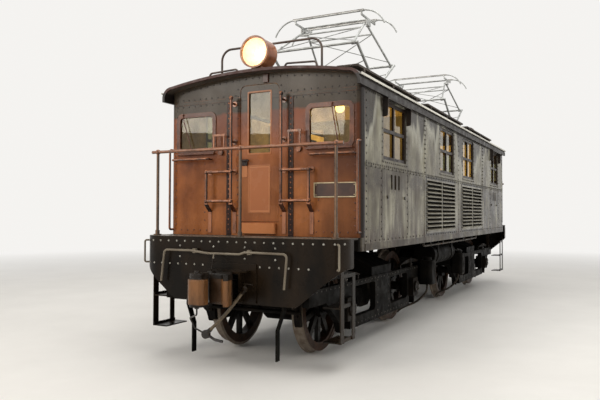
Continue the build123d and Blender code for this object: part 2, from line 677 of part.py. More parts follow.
def driver_seat():
    post = rod_z(40, 850, -3560, (FLOOR_TOP, 1900))
    cushion = window_block((640, 1060), (-3760, -3360), (1900, 1970), 60, Axis.Z)
    rest = window_block((650, 1050), (-3360, -3310), (1930, 2380), 20, Axis.Z)
    return fused([post, cushion, rest])


def machinery():
    return block((-520, 520), (-1900, 1900), (FLOOR_TOP, 2640))


# Reservoirs and gear boxes hung from the body between the bogies
def reservoir():
    tank = rod_y(185, 900, (-690, 690), 1000)
    straps = []
    for y in (-480, 480):
        strap = rod_y(197, 900, (y - 30, y + 30), 1000) - rod_y(185, 900, (y - 31, y + 31), 1000)
        hanger = block((715, 727), (y - 30, y + 30), (1000, SILL_BOTTOM + 150))
        outer = block((1073, 1085), (y - 30, y + 30), (1000, FLOOR_BOTTOM))
        straps += [strap, hanger, outer]
    return fused([tank] + straps)


# Bogie of end a. The side frame is a plate girder with two windows, a slot for each
# axlebox, and an arm that reaches forward under the deck. It carries a sand box.
def side_frame():
    y0 = -BOGIE_Y
    outline = [(-2300, FRAME_TOP), (1960, FRAME_TOP), (1960, 720), (1500, 420), (1440, 290),
               (-1440, 290), (-1500, 420), (-1860, 690), (-2300, 690)]
    frame = plate_yz([(y0 + y, z) for y, z in outline], FRAME_X)
    for y in (-HALF_WHEELBASE, HALF_WHEELBASE):
        frame -= block((800, 1000), (y0 + y - 125, y0 + y + 125), (280, AXLE_Z + 135))
    for window in ((-1090, -300), (300, 1090)):
        frame -= window_block((800, 1000), (y0 + window[0], y0 + window[1]), (420, 795), 60, Axis.X)
    return frame


def bogie_frame():
    """What joins the side frames: cross members, headstock, and the bolster on top of them."""
    y0 = -BOGIE_Y
    inner = FRAME_X[0]
    cross = [(-1945, -1885), (-390, -270), (270, 390), (1890, 1960)]
    pieces = [block((-inner, inner), (y0 + a, y0 + b), (700, FRAME_TOP)) for a, b in cross]
    end_beam = block((-inner, inner), (-5184, -5100), (700, 1000))
    pieces.append(end_beam - block((-75, 75), (-5200, -5000), (COUPLER_Z - 75, COUPLER_Z + 75)))
    seat = inner + 60
    bolster = [(-seat, FRAME_TOP), (seat, FRAME_TOP), (seat, 980), (420, BOLSTER_TOP),
               (-420, BOLSTER_TOP), (-seat, 980)]
    pieces.append(plate_xz(bolster, (y0 - 390, y0 + 390)))
    pieces.append(rod_z(290, 0, y0, (BOLSTER_TOP, 1236)))
    frame = fused(pieces)
    return frame - rod_z(PIVOT_RADIUS + RUN_CLEARANCE, 0, y0, (600, 1300))


def axlebox(y):
    box = window_block((790, 1010), (y - 120, y + 120), (AXLE_Z - 140, AXLE_Z + 135), 30, Axis.X)
    cover = rod_x(92, (1010, 1034), y, AXLE_Z)
    for low, high in ((-121, -112), (112, 121)):
        box -= block((850, 950), (y + low, y + high), (0, 1000))
    return box + cover - rod_x(JOURNAL_RADIUS + RUN_CLEARANCE, (700, JOURNAL_END + 5), y, AXLE_Z)


def leaf_spring(y):
    """A bow of leaves over an axlebox, with a buckle and two hangers."""
    bow = []
    leaves = ((0, 470), (1, 400), (2, 310), (3, 220))
    for index, half in leaves:
        z = 990 - index * 13
        sag = 60 * (half / 470) ** 2
        outer = ThreePointArc((872, y - half, z - sag), (872, y, z), (872, y + half, z - sag))
        inner = ThreePointArc((872, y - half, z - sag - 13), (872, y, z - 13),
                              (872, y + half, z - sag - 13))
        ends = [Line((872, y + s * half, z - sag), (872, y + s * half, z - sag - 13))
                for s in (-1, 1)]
        bow.append(extrude(make_face([outer, inner] + ends), amount=58, dir=(1, 0, 0)))
    buckle = block((864, 936), (y - 40, y + 40), (FRAME_TOP, 1000))
    hangers = [block((886, 916), (y + s * 450 - 15, y + s * 450 + 15), (FRAME_TOP, 936))
               for s in (-1, 1)]
    return fused(bow + [buckle] + hangers)


def traction_motor(side):
    y0, axle = -BOGIE_Y, -BOGIE_Y + side * HALF_WHEELBASE
    motor_y = y0 + side * 765
    case = rod_x(350, (-365, 365), motor_y, 610)
    case &= block((-365, 365), (motor_y - 330, motor_y + 330), (290, 930))
    nose = block((-120, 120), tuple(sorted((y0 + side * 290, y0 + side * 450))), (620, 700))
    arms = []
    for x in (-300, 200):
        arms.append(block((x, x + 100), tuple(sorted((motor_y, axle))), (AXLE_Z - 90, AXLE_Z + 90)))
        arms.append(rod_x(130, (x, x + 100), axle, AXLE_Z))
    motor = fused([case, nose] + arms)
    return motor - rod_x(AXLE_RADIUS + RUN_CLEARANCE, (-600, 600), axle, AXLE_Z)


def wheelset(y):
    """An axle with two spoked wheels: tyre and rim turned, spokes in a ring round the hub."""
    pieces = [rod_x(AXLE_RADIUS, (-650, 650), y, AXLE_Z),
              rod_x(JOURNAL_RADIUS, (-JOURNAL_END, JOURNAL_END), y, AXLE_Z)]
    rim_outline = [(WHEEL_INNER, 430), (WHEEL_OUTER - 8, 430), (WHEEL_OUTER - 8, 470),
                   (WHEEL_OUTER, 470), (WHEEL_OUTER, TREAD_RADIUS - 7), (WHEEL_INNER + 40, TREAD_RADIUS),
                   (WHEEL_INNER + 24, FLANGE_RADIUS - 4), (WHEEL_INNER + 12, FLANGE_RADIUS),
                   (WHEEL_INNER, FLANGE_RADIUS - 12)]
    rim = revolve(make_face(Polyline(*[(x, r, 0) for x, r in rim_outline], close=True)), axis=Axis.X)
    hub = Pos(560, 0, 0) * Rot(0, 90, 0) * Cylinder(130, 170)
    wheel = [rim, hub]
    for index in range(SPOKES):
        spoke = plate_xz([(530, 100), (590, 100), (582, 445), (538, 445)], (-36, 36))
        wheel.append(Rot(360 * index / SPOKES, 0, 0) * spoke)
    wheel = Pos(0, y, AXLE_Z) * fused(wheel)
    return fused(pieces + pair(wheel))


def brake_gear(side):
    """Two blocks on hangers, joined by a beam, beside the outer treads of one axle."""
    axle = -BOGIE_Y + side * HALF_WHEELBASE
    beam_y = axle + side * 610
    pieces = [rod_x(24, (-640, 640), beam_y, AXLE_Z)]
    for x in (-580, 580):
        ring = rod_x(TREAD_RADIUS + 50, (x - 38, x + 38), axle, AXLE_Z)
        ring -= rod_x(TREAD_RADIUS + 8, (x - 39, x + 39), axle, AXLE_Z)
        window = tuple(sorted((axle + side * 490, axle + side * 600)))
        pieces.append(ring & block((x - 38, x + 38), window, (AXLE_Z - 170, AXLE_Z + 170)))
        pieces.append(block((x - 12, x + 12), tuple(sorted((axle + side * 575, beam_y))),
                            (AXLE_Z - 60, AXLE_Z + 60)))
        pieces.append(block((x - 12, x + 12), tuple(sorted((beam_y - side * 14, beam_y + side * 10))),
                            (AXLE_Z, 700)))
    return fused(pieces)


# Deck of end a: a tread plate with rounded front corners over an apron of the same plan,
# whose lower edge is cut in towards the track, on two gussets from the bogie frame
def deck_plan(inset, rear):
    x, y, radius = HALF_WIDTH - inset, DECK_FRONT + inset, DECK_CORNER - inset
    return make_face([
        Line((x, rear, 0), (x, y + radius, 0)),
        ThreePointArc((x, y + radius, 0),
                      (x - radius * (1 - math.sqrt(0.5)), y + radius * (1 - math.sqrt(0.5)), 0),
                      (x - radius, y, 0)),
        Line((x - radius, y, 0), (-x + radius, y, 0)),
        ThreePointArc((-x + radius, y, 0),
                      (-x + radius * (1 - math.sqrt(0.5)), y + radius * (1 - math.sqrt(0.5)), 0),
                      (-x, y + radius, 0)),
        Line((-x, y + radius, 0), (-x, rear, 0)),
        Line((-x, rear, 0), (x, rear, 0)),
    ])


def end_deck():
    tread = Pos(0, 0, DECK_TOP - PLATE) * extrude(deck_plan(0, DECK_REAR), amount=PLATE)
    skirt = extrude(deck_plan(0, APRON_SIDE_END), amount=DECK_TOP - PLATE - APRON_BOTTOM)
    skirt -= extrude(deck_plan(PLATE, APRON_SIDE_END), amount=DECK_TOP)
    skirt = Pos(0, 0, APRON_BOTTOM) * skirt
    skirt -= block((-1290, 1290), (DECK_FRONT + DECK_CORNER, APRON_SIDE_END + 1), (600, 1500))
    outside = [(HALF_WIDTH + 20, APRON_KNEE_Z), (HALF_WIDTH, APRON_KNEE_Z),
               (APRON_LOW_X, APRON_LOW_Z), (APRON_LOW_X - 70, APRON_BOTTOM),
               (APRON_LOW_X - 70, 600), (HALF_WIDTH + 20, 600)]
    for cut in pair(plate_xz(outside, (-5300, -4700))):
        skirt -= cut
    pocket = block((-POCKET_HALF, POCKET_HALF), (-5400, -5100), POCKET_Z)
    striker = block((-320, 320), (DECK_FRONT - 20, DECK_FRONT), (704, 1130))
    box = block((-POCKET_HALF - 22, POCKET_HALF + 22), (DECK_FRONT - 110, DECK_FRONT),
                (POCKET_Z[0] - 22, POCKET_Z[1] + 22))
    shelf = block((-250, 250), (DECK_FRONT - 110, DECK_FRONT), (POCKET_Z[1] + 12, POCKET_Z[1] + 34))
    rest = block((-90, 90), (DECK_FRONT - 90, DECK_FRONT - 30), (POCKET_Z[0], COUPLER_Z - 75))
    skirt = fused([skirt, striker, box, shelf]) - pocket + rest
    gussets = []
    for x in (-920, 880):
        gusset = [(-5184, FRAME_TOP), (-4900, FRAME_TOP), (-4760, DECK_TOP - 90),
                  (-4760, DECK_TOP - PLATE), (-5184, DECK_TOP - PLATE)]
        gussets.append(plate_yz(gusset, (x, x + 40)))
    rib = block((-HALF_WIDTH + 60, HALF_WIDTH - 60), (-4830, -4790), (DECK_TOP - 76, DECK_TOP - PLATE))
    return fused([tread, skirt, rib] + gussets)


def apron_handle():
    """A handle that stands off the rounded corner of the apron."""
    reach = [(DECK_CORNER + out) * math.sqrt(0.5) for out in (-8, 55)]
    near, far = [(HALF_WIDTH - DECK_CORNER + r, DECK_FRONT + DECK_CORNER - r) for r in reach]
    return pipe(11, [(*near, 1362), (*far, 1362), (*far, 1098), (*near, 1098)], 22)


def deck_railing():
    y, rail_z = -5040, 2433
    posts = [-1190, 0, 1190]
    pieces = [rod_x(19, (-1275, 1275), y, rail_z)]
    for x in posts:
        pieces.append(rod_z(18, x, y, (DECK_TOP + 14, rail_z)))
        pieces.append(rod_z(48, x, y, (DECK_TOP, DECK_TOP + 14)))
        pieces.append(rod_z(27, x, y, (DECK_TOP + 14, DECK_TOP + 60)))
        pieces.append(Pos(x, y, rail_z) * Sphere(32))
    return fused(pieces)


# Coupler: shank and head with a guard arm, drawn in plan, and the closed knuckle on its pin
# between two lugs
def coupler():
    pin = (KNUCKLE_PIN_X, KNUCKLE_PIN_Y)
    head = [(-75, -5310), (75, -5310), (108, -5410), (188, -5475), (234, -5640), (192, -5664),
            (160, -5548), (62, -5506), (-96, -5500), (-150, -5440), (-150, -5400)]
    lug = [(-264, -5580), (-112, -5580), (-96, -5490), (-96, -5430), (-150, -5430)]
    nose = [(-188, COUPLER_FACE), (-96, COUPLER_FACE), (-56, -5652), (-60, -5572), (-110, -5500),
            (-188, -5500)]
    knuckle_z = (COUPLER_Z - 165, COUPLER_Z + 105)
    pieces = [plate_xy(head, (COUPLER_Z - 165, COUPLER_Z + 165)),
              block((-75, 75), (-5310, -4980), (COUPLER_Z - 75, COUPLER_Z + 75)),
              rod_z(KNUCKLE_RADIUS, *pin, knuckle_z),
              plate_xy(nose, knuckle_z),
              rod_z(26, *pin, (COUPLER_Z - 215, COUPLER_Z + 190)),
              block((-130, -70), (-5490, -5420), (COUPLER_Z + 165, COUPLER_Z + 182))]
    for z in ((COUPLER_Z - 195, COUPLER_Z - 165), (COUPLER_Z + 105, COUPLER_Z + 165)):
        pieces.append(rod_z(78, *pin, z))
        pieces.append(plate_xy(lug, z))
    return fused(pieces)


def brake_cock():
    """The brake pipe's angle cock on the striker, with its handle and the hose's nipple."""
    start, second = [Vector(*point) for point in HOSE_ROUTE[:2]]
    centre = start + (start - second).normalized() * 62
    pieces = [rod_y(46, centre.X, (DECK_FRONT - 32, DECK_FRONT - 20), centre.Z),
              rod_y(20, centre.X, (centre.Y, DECK_FRONT - 32), centre.Z),
              Pos(*centre) * Sphere(36),
              bar(25, centre, start),
              rod_z(9, centre.X, centre.Y, (centre.Z, centre.Z + 50)),
              rod_x(9, (centre.X - 12, centre.X + 96), centre.Y, centre.Z + 50)]
    return fused(pieces)


def brake_hose():
    route = [Vector(*point) for point in HOSE_ROUTE]
    radii = []
    for before, corner, after in zip(route, route[1:], route[2:]):
        turn = math.radians((corner - before).get_angle(after - corner))
        run = min((corner - before).length, (after - corner).length)
        radii.append(0.45 * run / math.tan(turn / 2))
    path = FilletPolyline(*route, radius=radii)
    hose = tube(HOSE_RADIUS, path)
    filled = hose.volume / (math.pi * HOSE_RADIUS ** 2 * path.length)
    print("brake hose", round(path.length), "mm, radii", [round(r) for r in radii], round(filled, 4))
    return hose


def hose_coupling():
    """The hose's socket and coupling head, on a bent rod under the coupler's knuckle pin."""
    before, last = [Vector(*point) for point in HOSE_ROUTE[-2:]]
    y = last.Y
    socket_end = last + (last - before).normalized() * 62
    head = rod_y(48, socket_end.X - 16, (y - 22, y + 22), socket_end.Z - 18)
    claw = pipe(15, [(socket_end.X, y, socket_end.Z - 18), (-140, y, 296), (-30, y, 282)], 60)
    hanger = pipe(9, [(socket_end.X - 16, y, socket_end.Z - 18), (-400, y, 400), (-425, y - 60, 520),
                      (-188, KNUCKLE_PIN_Y, 600), (-188, KNUCKLE_PIN_Y, COUPLER_Z - 215)], 24)
    return fused([bar(25, last, socket_end), head, claw, hanger])


def uncoupling_lever():
    y = DECK_FRONT - 60
    route = [(-945, y, 895), (-900, y, 1262), (-530, y, 1262), (-285, y, 1236), (130, y, 1236),
             (205, y, 1260), (725, y, 1254), (690, y, 880)]
    radii = [46, 60, 40, 40, 40, 46]
    lever = tube(13, FilletPolyline(*route, radius=radii))
    brackets = [block((x - 20, x + 20), (y, DECK_FRONT), (z - 26, z + 26))
                for x, z in ((-480, 1259), (250, 1260))]
    link = bar(7, (-205, y, 1236), (-100, -5450, COUPLER_Z + 192))
    return fused([lever, link] + brackets)


def rail_guard():
    route = [(640, 700), (640, 640), (560, 420), (560, 92), (544, 92), (544, 424), (622, 646), (622, 700)]
    return plate_xz(route, (-5180, -5110))


def boarding_step():
    leg_x = (1236, 1248)
    pieces = [block(leg_x, (-5040, -4950), (316, DECK_TOP - PLATE)),
              block(leg_x, (-4720, -4640), (316, 1040)),
              block(leg_x, (-5040, -4640), (1000, 1040))]
    for z in (316, 680):
        pieces.append(block((1040, 1236), (-5040, -4640), (z, z + 14)))
        pieces.append(block((1224, 1236), (-5040, -4640), (z, z + 40)))
    return fused(pieces)


def sand_box():
    box = window_block((FRAME_X[1], 1170), (-BOGIE_Y + 1640, -BOGIE_Y + 1940), (560, 940), 60, Axis.Z)
    return box + rod_z(70, 1055, -BOGIE_Y + 1790, (940, 990))


def drawbar_tongue():
    """A bar from bogie a with a slotted eye over the pin of bogie b's jaw."""
    tongue = block((-60, 60), (-905, 70), (760, 800))
    slot = rod_z(30, 0, -8, (700, 900)) + rod_z(30, 0, 8, (700, 900))
    slot += block((-30, 30), (-8, 8), (700, 900))
    return tongue - slot


def drawbar_jaw():
    plates = [block((-80, 80), (-80, 905), z) for z in ((715, 750), (810, 845))]
    return fused(plates + [rod_z(24, 0, 0, (700, 860)), block((-80, 80), (300, 905), (715, 845))])


# The body and its fixed pieces
save("underframe", underframe() + floor_plate())
wall = side_wall()
save("side_wall_right", wall)
save("side_wall_left", mirrored(wall))
sashes = [sash(y) for y in SIDE_WINDOWS]
save("sashes", *sashes, *[mirrored(piece) for piece in sashes])
panes = [side_glass(y) for y in SIDE_WINDOWS]
end_panes = [end_glass(x) for x in (-END_WINDOW_X, END_WINDOW_X)]
save("window_glass", *panes, *[mirrored(pane) for pane in panes], *ends(end_panes))
banks = [louvre_bank(y) for y in (-LOUVRE_Y, LOUVRE_Y)]
save("louvres", *banks, *[mirrored(bank) for bank in banks])
awnings = [awning(y) for y in (-CAB_WINDOW_Y, CAB_WINDOW_Y)]
save("awnings", *awnings, *[mirrored(piece) for piece in awnings])
save("roof", roof_shell())
save("end_window_rings", *ends([end_window_ring(x) for x in (-END_WINDOW_X, END_WINDOW_X)]))
save("end_rails", *ends(pair(ladder()) + [piece for rail in grab_rails() for piece in pair(rail)]))
save("lamp_brackets", *ends(pair(lamp_bracket()) + pair(lamp_socket())))
save("headlights", *ends([headlight()]))
save("headlight_glass", *ends([headlight_glass()]))
walks = [walkway(limits) for limits in ((-4250, -1650), (-1250, 1250), (1650, 4250))]
save("walkways", *walks, *[mirrored(walk) for walk in walks])
save("roof_hoops", *ends([roof_hoop()] + pair(roof_grab())))
save("panto_bases", *ends([panto_base()]))
save("panto_insulators", *ends(panto_insulators()))
save("partitions", *ends([partition()]))
save("cab_fittings", *ends([control_stand(), driver_seat()]))
save("machinery", machinery())
save("reservoirs", *pair(reservoir()))

# What each end and each bogie has, built at end a and turned round for end b
end_pieces = {
    "end_wall": [fused([end_wall()] + door_hinges())],
    "door": [door_leaf()],
    "door_glass": [door_glass()],
    "panto_lower_front": [lower_frame()],
    "panto_upper_front": [upper_frame()],
    "panto_lower_rear": [rear_of_panto(lower_frame())],
    "panto_upper_rear": [rear_of_panto(upper_frame())],
    "panto_head": [panto_head()],
    "axleboxes": [piece for y in AXLES for piece in pair(axlebox(y)) + pair(leaf_spring(y))],
    "traction_motors": [traction_motor(-1), traction_motor(1)],
    "brake_gear": [brake_gear(-1), brake_gear(1)],
    "end_deck": [fused([end_deck(), uncoupling_lever(), brake_cock()] + pair(boarding_step())
                       + pair(apron_handle()))],
    "railing": [deck_railing()],
    "coupler": [coupler()],
    "side_frames": pair(side_frame() + sand_box()),
}
for name, pieces in end_pieces.items():
    save(name + "_a", *pieces)
    save(name + "_b", *[turned(piece) for piece in pieces])
save("brake_hose_a", brake_hose())
save("hose_coupling_a", hose_coupling())
frame = fused([bogie_frame()] + pair(rail_guard()))
save("bogie_frame_a", frame + drawbar_tongue())
save("bogie_frame_b", turned(frame) + drawbar_jaw())
for number, y in enumerate(AXLES, start=1):
    wheels = wheelset(y)
    save(f"wheelset_{number}", wheels)
    save(f"wheelset_{5 - number}", turned(wheels))
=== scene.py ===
import math

import bpy
import numpy as np
from mathutils import Matrix, Vector


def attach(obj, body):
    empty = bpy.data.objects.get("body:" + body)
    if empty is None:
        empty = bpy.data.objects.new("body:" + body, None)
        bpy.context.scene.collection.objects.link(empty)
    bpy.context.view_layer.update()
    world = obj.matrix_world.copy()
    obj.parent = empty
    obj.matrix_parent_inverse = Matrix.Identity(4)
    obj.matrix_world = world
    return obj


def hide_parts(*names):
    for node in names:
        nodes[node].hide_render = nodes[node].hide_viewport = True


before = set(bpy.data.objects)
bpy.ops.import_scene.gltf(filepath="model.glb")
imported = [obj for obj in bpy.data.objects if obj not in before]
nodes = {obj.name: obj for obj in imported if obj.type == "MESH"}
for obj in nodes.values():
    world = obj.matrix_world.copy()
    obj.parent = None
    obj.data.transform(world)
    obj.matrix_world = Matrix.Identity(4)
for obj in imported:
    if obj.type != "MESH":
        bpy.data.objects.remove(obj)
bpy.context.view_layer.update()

# Side walls: riveted steel sheets on the body frame, under varnished brown paint whose colour
# is painted grey-brown as the reflection of the overhead light, with light and dark tongues
# below the eave painted as reflections. The sill is painted with them, and their inner faces are cream.
SIDE_X = 1.320
WINDOW_YS = (0.800, 3.476)
WINDOW_MIDDLE, WINDOW_STEP = 2.138, 1.338
BANK_Y, BANK_HALF = 1.150, 0.910
BANK_Z, BANK_RISE = 1.8055, 0.4105
CAB_LAMP = (0.87, -4.20, 2.95)
SIDE_GREY, SIDE_CLOUD, SIDE_PALE, SIDE_PALE_RUN = (100, 95, 79), (144, 140, 122), (158, 156, 143), (176, 172, 158)
SIDE_REFLECTED_SMEAR, SIDE_DARK_REFLECTION, SIDE_DARK = (68, 60, 48), (54, 46, 36), (44, 38, 31)
SIDE_BROWN, SIDE_BLOT, SIDE_SCAR, BANK_SHADE = (54, 41, 29), (58, 44, 33), (24, 17, 11), (26, 20, 15)
CREAM, DADO, LAMPLIGHT = (146, 124, 76), (46, 38, 28), (255, 198, 104)
INPUT_NAMES = {
    "roughness": "Roughness", "metallic": "Metallic", "specular": "Specular IOR Level",
    "coat": "Coat Weight", "coat_roughness": "Coat Roughness", "clear": "Transmission Weight",
    "ior": "IOR", "glow": "Emission Strength",
}


def linear(colour):
    """A colour read off a screen, 0 to 255, as the shader's linear values with an alpha."""
    share = np.array(colour) / 255
    value = np.where(share > 0.04045, ((share + 0.055) / 1.055) ** 2.4, share / 12.92)
    return (*value, 1.0)


def shader_of(material):
    return material.node_tree.nodes["Principled BSDF"]


def finish(name, roughness, **values):
    """A material whose even values are set on the shader itself, by their short names."""
    material = bpy.data.materials.new(name)
    material.use_nodes = True
    for short, value in {"roughness": roughness, "coat_roughness": 0.1, "specular": 0.4, **values}.items():
        shader_of(material).inputs[INPUT_NAMES[short]].default_value = value
    return material


class Value:
    """A value in the shading of its owner, a material or the world. It takes arithmetic with
    numbers and other values, and | gives the larger of two."""

    def __init__(self, owner, socket):
        self.owner, self.socket = owner, socket

    def worked(self, operation, *second):
        return add_node(self.owner, "ShaderNodeMath", dict(enumerate((self, *second))), "Value", operation=operation)

    def __mul__(self, other):
        return self.worked("MULTIPLY", other)

    def __add__(self, other):
        return self.worked("ADD", other)

    def __sub__(self, other):
        return self.worked("SUBTRACT", other)

    def __or__(self, other):
        return self.worked("MAXIMUM", other)

    def __abs__(self):
        return self.worked("ABSOLUTE")

    def ramp(self, low, high, first=0.0, last=1.0):
        """The value taken from one range to another, held at the ends."""
        inputs = {"Value": self, "From Min": low, "From Max": high, "To Min": first, "To Max": last}
        return add_node(self.owner, "ShaderNodeMapRange", inputs, "Result")

    def band(self, low, high, soft):
        """1 where the value lies between two limits, falling to 0 over a soft edge outside."""
        return self.ramp(low - soft, low) * self.ramp(high + soft, high)

    def mix(self, first, second):
        """The second colour laid over the first by this share; each may be a value."""
        shades = [linear(shade) if isinstance(shade, tuple) else shade for shade in (first, second)]
        return add_node(self.owner, "ShaderNodeMix", {0: self, 6: shades[0], 7: shades[1]}, 2, data_type="RGBA")


def add_node(owner, kind, inputs, output, **settings):
    """What comes out of a new shader node with these settings, its inputs set or linked."""
    made = owner.node_tree.nodes.new(kind)
    for name, setting in settings.items():
        setattr(made, name, setting)
    for name, value in inputs.items():
        if isinstance(value, Value):
            owner.node_tree.links.new(value.socket, made.inputs[name])
        else:
            made.inputs[name].default_value = value
    return Value(owner, made.outputs[output])


def feed(value, socket):
    value.owner.node_tree.links.new(value.socket, shader_of(value.owner).inputs[socket])


def places_on(material):
    return add_node(material, "ShaderNodeTexCoord", {}, "Object")


def noise(material, scale, stretch=(1, 1, 1), detail=5, roughness=0.6):
    """A cloudy value from 0 to 1 on the piece's own coordinates, stretched along the axes."""
    place = add_node(material, "ShaderNodeMapping", {"Vector": places_on(material), "Scale": stretch}, "Vector")
    inputs = {"Vector": place, "Scale": scale, "Detail": detail, "Roughness": roughness}
    return add_node(material, "ShaderNodeTexNoise", inputs, "Fac")


def along(material, axis):
    """Where a point lies on one axis, in metres."""
    return add_node(material, "ShaderNodeSeparateXYZ", {"Vector": places_on(material)}, axis)


def off(material, axis):
    """How far a point lies from the middle of the body along one axis, in metres."""
    return abs(along(material, axis))


def eased_normal(material, radius):
    return add_node(material, "ShaderNodeBevel", {"Radius": radius}, "Normal", samples=4)


def edge_wear(material, radius):
    """Where a corner sharper than the radius lies: the rounded normal leaves the flat one."""
    flat = add_node(material, "ShaderNodeNewGeometry", {}, "Normal")
    inputs = {0: eased_normal(material, radius), 1: flat}
    level = add_node(material, "ShaderNodeVectorMath", inputs, "Value", operation="DOT_PRODUCT")
    return level.ramp(0.99, 0.82) * noise(material, 14).ramp(0.4, 0.6)


def relief(value, depth, easing=None):
    """Bumps as deep as the value times a depth in metres, over corners eased by a radius."""
    inputs = {"Height": value, "Strength": 1.0, "Distance": depth}
    if easing:
        inputs["Normal"] = eased_normal(value.owner, easing)
    feed(add_node(value.owner, "ShaderNodeBump", inputs, "Normal"), "Normal")


def varnish(material, gloss, wave):
    """Roughness in soft clouds about a gloss, over a sheet that waves by a few millimetres."""
    feed(noise(material, 3.0, detail=4).ramp(0.3, 0.75, gloss * 0.7, gloss * 1.6), "Roughness")
    relief(noise(material, 1.9, detail=2), wave)


def dress(material, *names):
    """Gives a material to CAD nodes."""
    for name in names:
        slots = nodes[name].data.materials
        slots.clear()
        slots.append(material)


def off_bank(material):
    """How far a point lies outside the outline of the nearest louvre bank, negative inside."""
    beside = abs(off(material, "Y") - BANK_Y) - BANK_HALF
    above = abs(along(material, "Z") - BANK_Z) - BANK_RISE
    return beside | above


def side_colour(material):
    """Grey-brown clouds, painted as the reflection of the overhead light on the brown paint, with
    dark smears and a dark band painted as reflections; light and dark tongues that hang from the
    eave, painted as reflections; painted shade beside the windows and round the louvre banks;
    brown streaks, scars and pale runs below the belt, and brown blots along the sill."""
    up, out = along(material, "Z"), off(material, "Y")
    below_belt = up.ramp(2.25, 2.0)
    clouds = noise(material, 1.5, (1, 1, 0.7), detail=6).ramp(0.40, 0.58)
    # dark smears painted as reflections in the gloss
    reflected_smear = noise(material, 3.0, (1, 1, 0.3), detail=8).ramp(0.46, 0.60, 0, 0.8)
    colour = reflected_smear.mix(clouds.mix(SIDE_GREY, SIDE_CLOUD), SIDE_REFLECTED_SMEAR)
    # a dark band painted as a reflection, 2.0 to 2.2 m up, from the louvre banks to the ends
    dark_reflection = up.band(2.02, 2.20, 0.10) * out.band(2.15, 4.45, 0.15)
    dark_reflection = dark_reflection * noise(material, 3.6, (1, 1, 1.6), detail=7).ramp(0.36, 0.52)
    colour = (dark_reflection * 0.8).mix(colour, SIDE_DARK_REFLECTION)
    # light and dark tongues hanging from the eave, painted reflections
    reflected_tongue = up.ramp(2.30, 3.05, 0.0, 0.40) + noise(material, 2.7, (1, 1, 0.17), detail=3, roughness=0.5)
    colour = reflected_tongue.ramp(0.68, 0.78, 0, 0.85).mix(colour, SIDE_PALE)
    colour = reflected_tongue.ramp(0.78, 0.85, 0, 0.95).mix(colour, SIDE_DARK)
    # painted shade beside the windows, as the awning cheeks and the window reveals cast it
    from_window = abs(abs(out - WINDOW_MIDDLE) - WINDOW_STEP)
    window_shade = from_window.band(0.445, 0.47, 0.07) * up.band(2.32, 3.07, 0.03)
    colour = (window_shade * 0.6).mix(colour, SIDE_DARK)
    streak = noise(material, 9.0, (1, 1, 0.08), detail=6).ramp(0.46, 0.64)
    streak = streak * out.ramp(2.25, 2.05, 1.0, 0.5) * below_belt.ramp(0, 1, 0.2, 0.9)
    colour = streak.mix(colour, SIDE_BROWN)
    beyond = along(material, "Y") * along(material, "X").worked("SIGN")
    scar = noise(material, 6.0, (1, 1, 0.22), detail=7).ramp(0.45, 0.53, 0, 0.95)
    colour = (scar * below_belt * beyond.ramp(2.0, 2.3)).mix(colour, SIDE_SCAR)
    blot = noise(material, 5.0, (1, 1, 0.5), detail=8).ramp(0.42, 0.6)
    colour = (blot * up.ramp(1.58, 1.40)).mix(colour, SIDE_BLOT)
    # painted shade round the outline of each louvre bank
    colour = off_bank(material).ramp(0.050, 0.018, 0, 0.9).mix(colour, BANK_SHADE)
    # pale vertical runs below the belt
    pale_run = noise(material, 16.0, (1, 1, 0.06), detail=4).ramp(0.6, 0.7, 0, 0.6)
    return (pale_run * below_belt.ramp(0, 1, 0.3, 1.0)).mix(colour, SIDE_PALE_RUN)


def lamplight(share, cab=0.03, middle=1.5):
    """The warm light that the lamps throw on an inner face above the dado: even between the
    cabs, weaker in a cab, and stronger again round the cab's lamp and by the partition."""
    material = share.owner
    out = off(material, "Y")
    reach = [add_node(material, "ShaderNodeVectorMath",
                      {0: places_on(material), 1: (CAB_LAMP[0] * end, CAB_LAMP[1] * end, CAB_LAMP[2])},
                      "Value", operation="DISTANCE") for end in (1, -1)]
    level = reach[0].worked("MINIMUM", reach[1]).ramp(1.15, 0.15, cab, 0.5)
    level = level | out.band(2.10, 2.60, 0.35) * (0.27 * middle) | out.ramp(2.19, 2.14, 0.0, middle)
    feed(share * level * along(material, "Z").ramp(2.24, 2.50), "Emission Strength")
    shader_of(material).inputs["Emission Color"].default_value = linear(LAMPLIGHT)


def lined(share, outer, **lamps):
    """One paint outside, and inside, by a share, lamplit cream above a dark brown dado."""
    lining = along(share.owner, "Z").ramp(2.27, 2.275).mix(DADO, CREAM)
    feed(share.mix(outer, lining), "Base Color")
    lamplight(share, **lamps)


side_paint = finish("side_paint", 0.28, specular=0.12)
varnish(side_paint, 0.27, 0.006)
lined(off(side_paint, "X").ramp(1.302, 1.298), side_colour(side_paint), cab=0.10)
dress(side_paint, "side_wall_right", "side_wall_left")


def add_mesh(name, points, faces, material, body, smooth=True):
    """A piece from its points and faces, riding on a body."""
    mesh = bpy.data.meshes.new(name)
    mesh.from_pydata(np.asarray(points).reshape(-1, 3).tolist(), [], faces)
    mesh.polygons.foreach_set("use_smooth", np.full(len(mesh.polygons), smooth))
    mesh.materials.append(material)
    piece = bpy.data.objects.new(name, mesh)
    bpy.context.scene.collection.objects.link(piece)
    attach(piece, body)
    return piece


def unit(vectors):
    return vectors / np.linalg.norm(vectors, axis=1, keepdims=True)


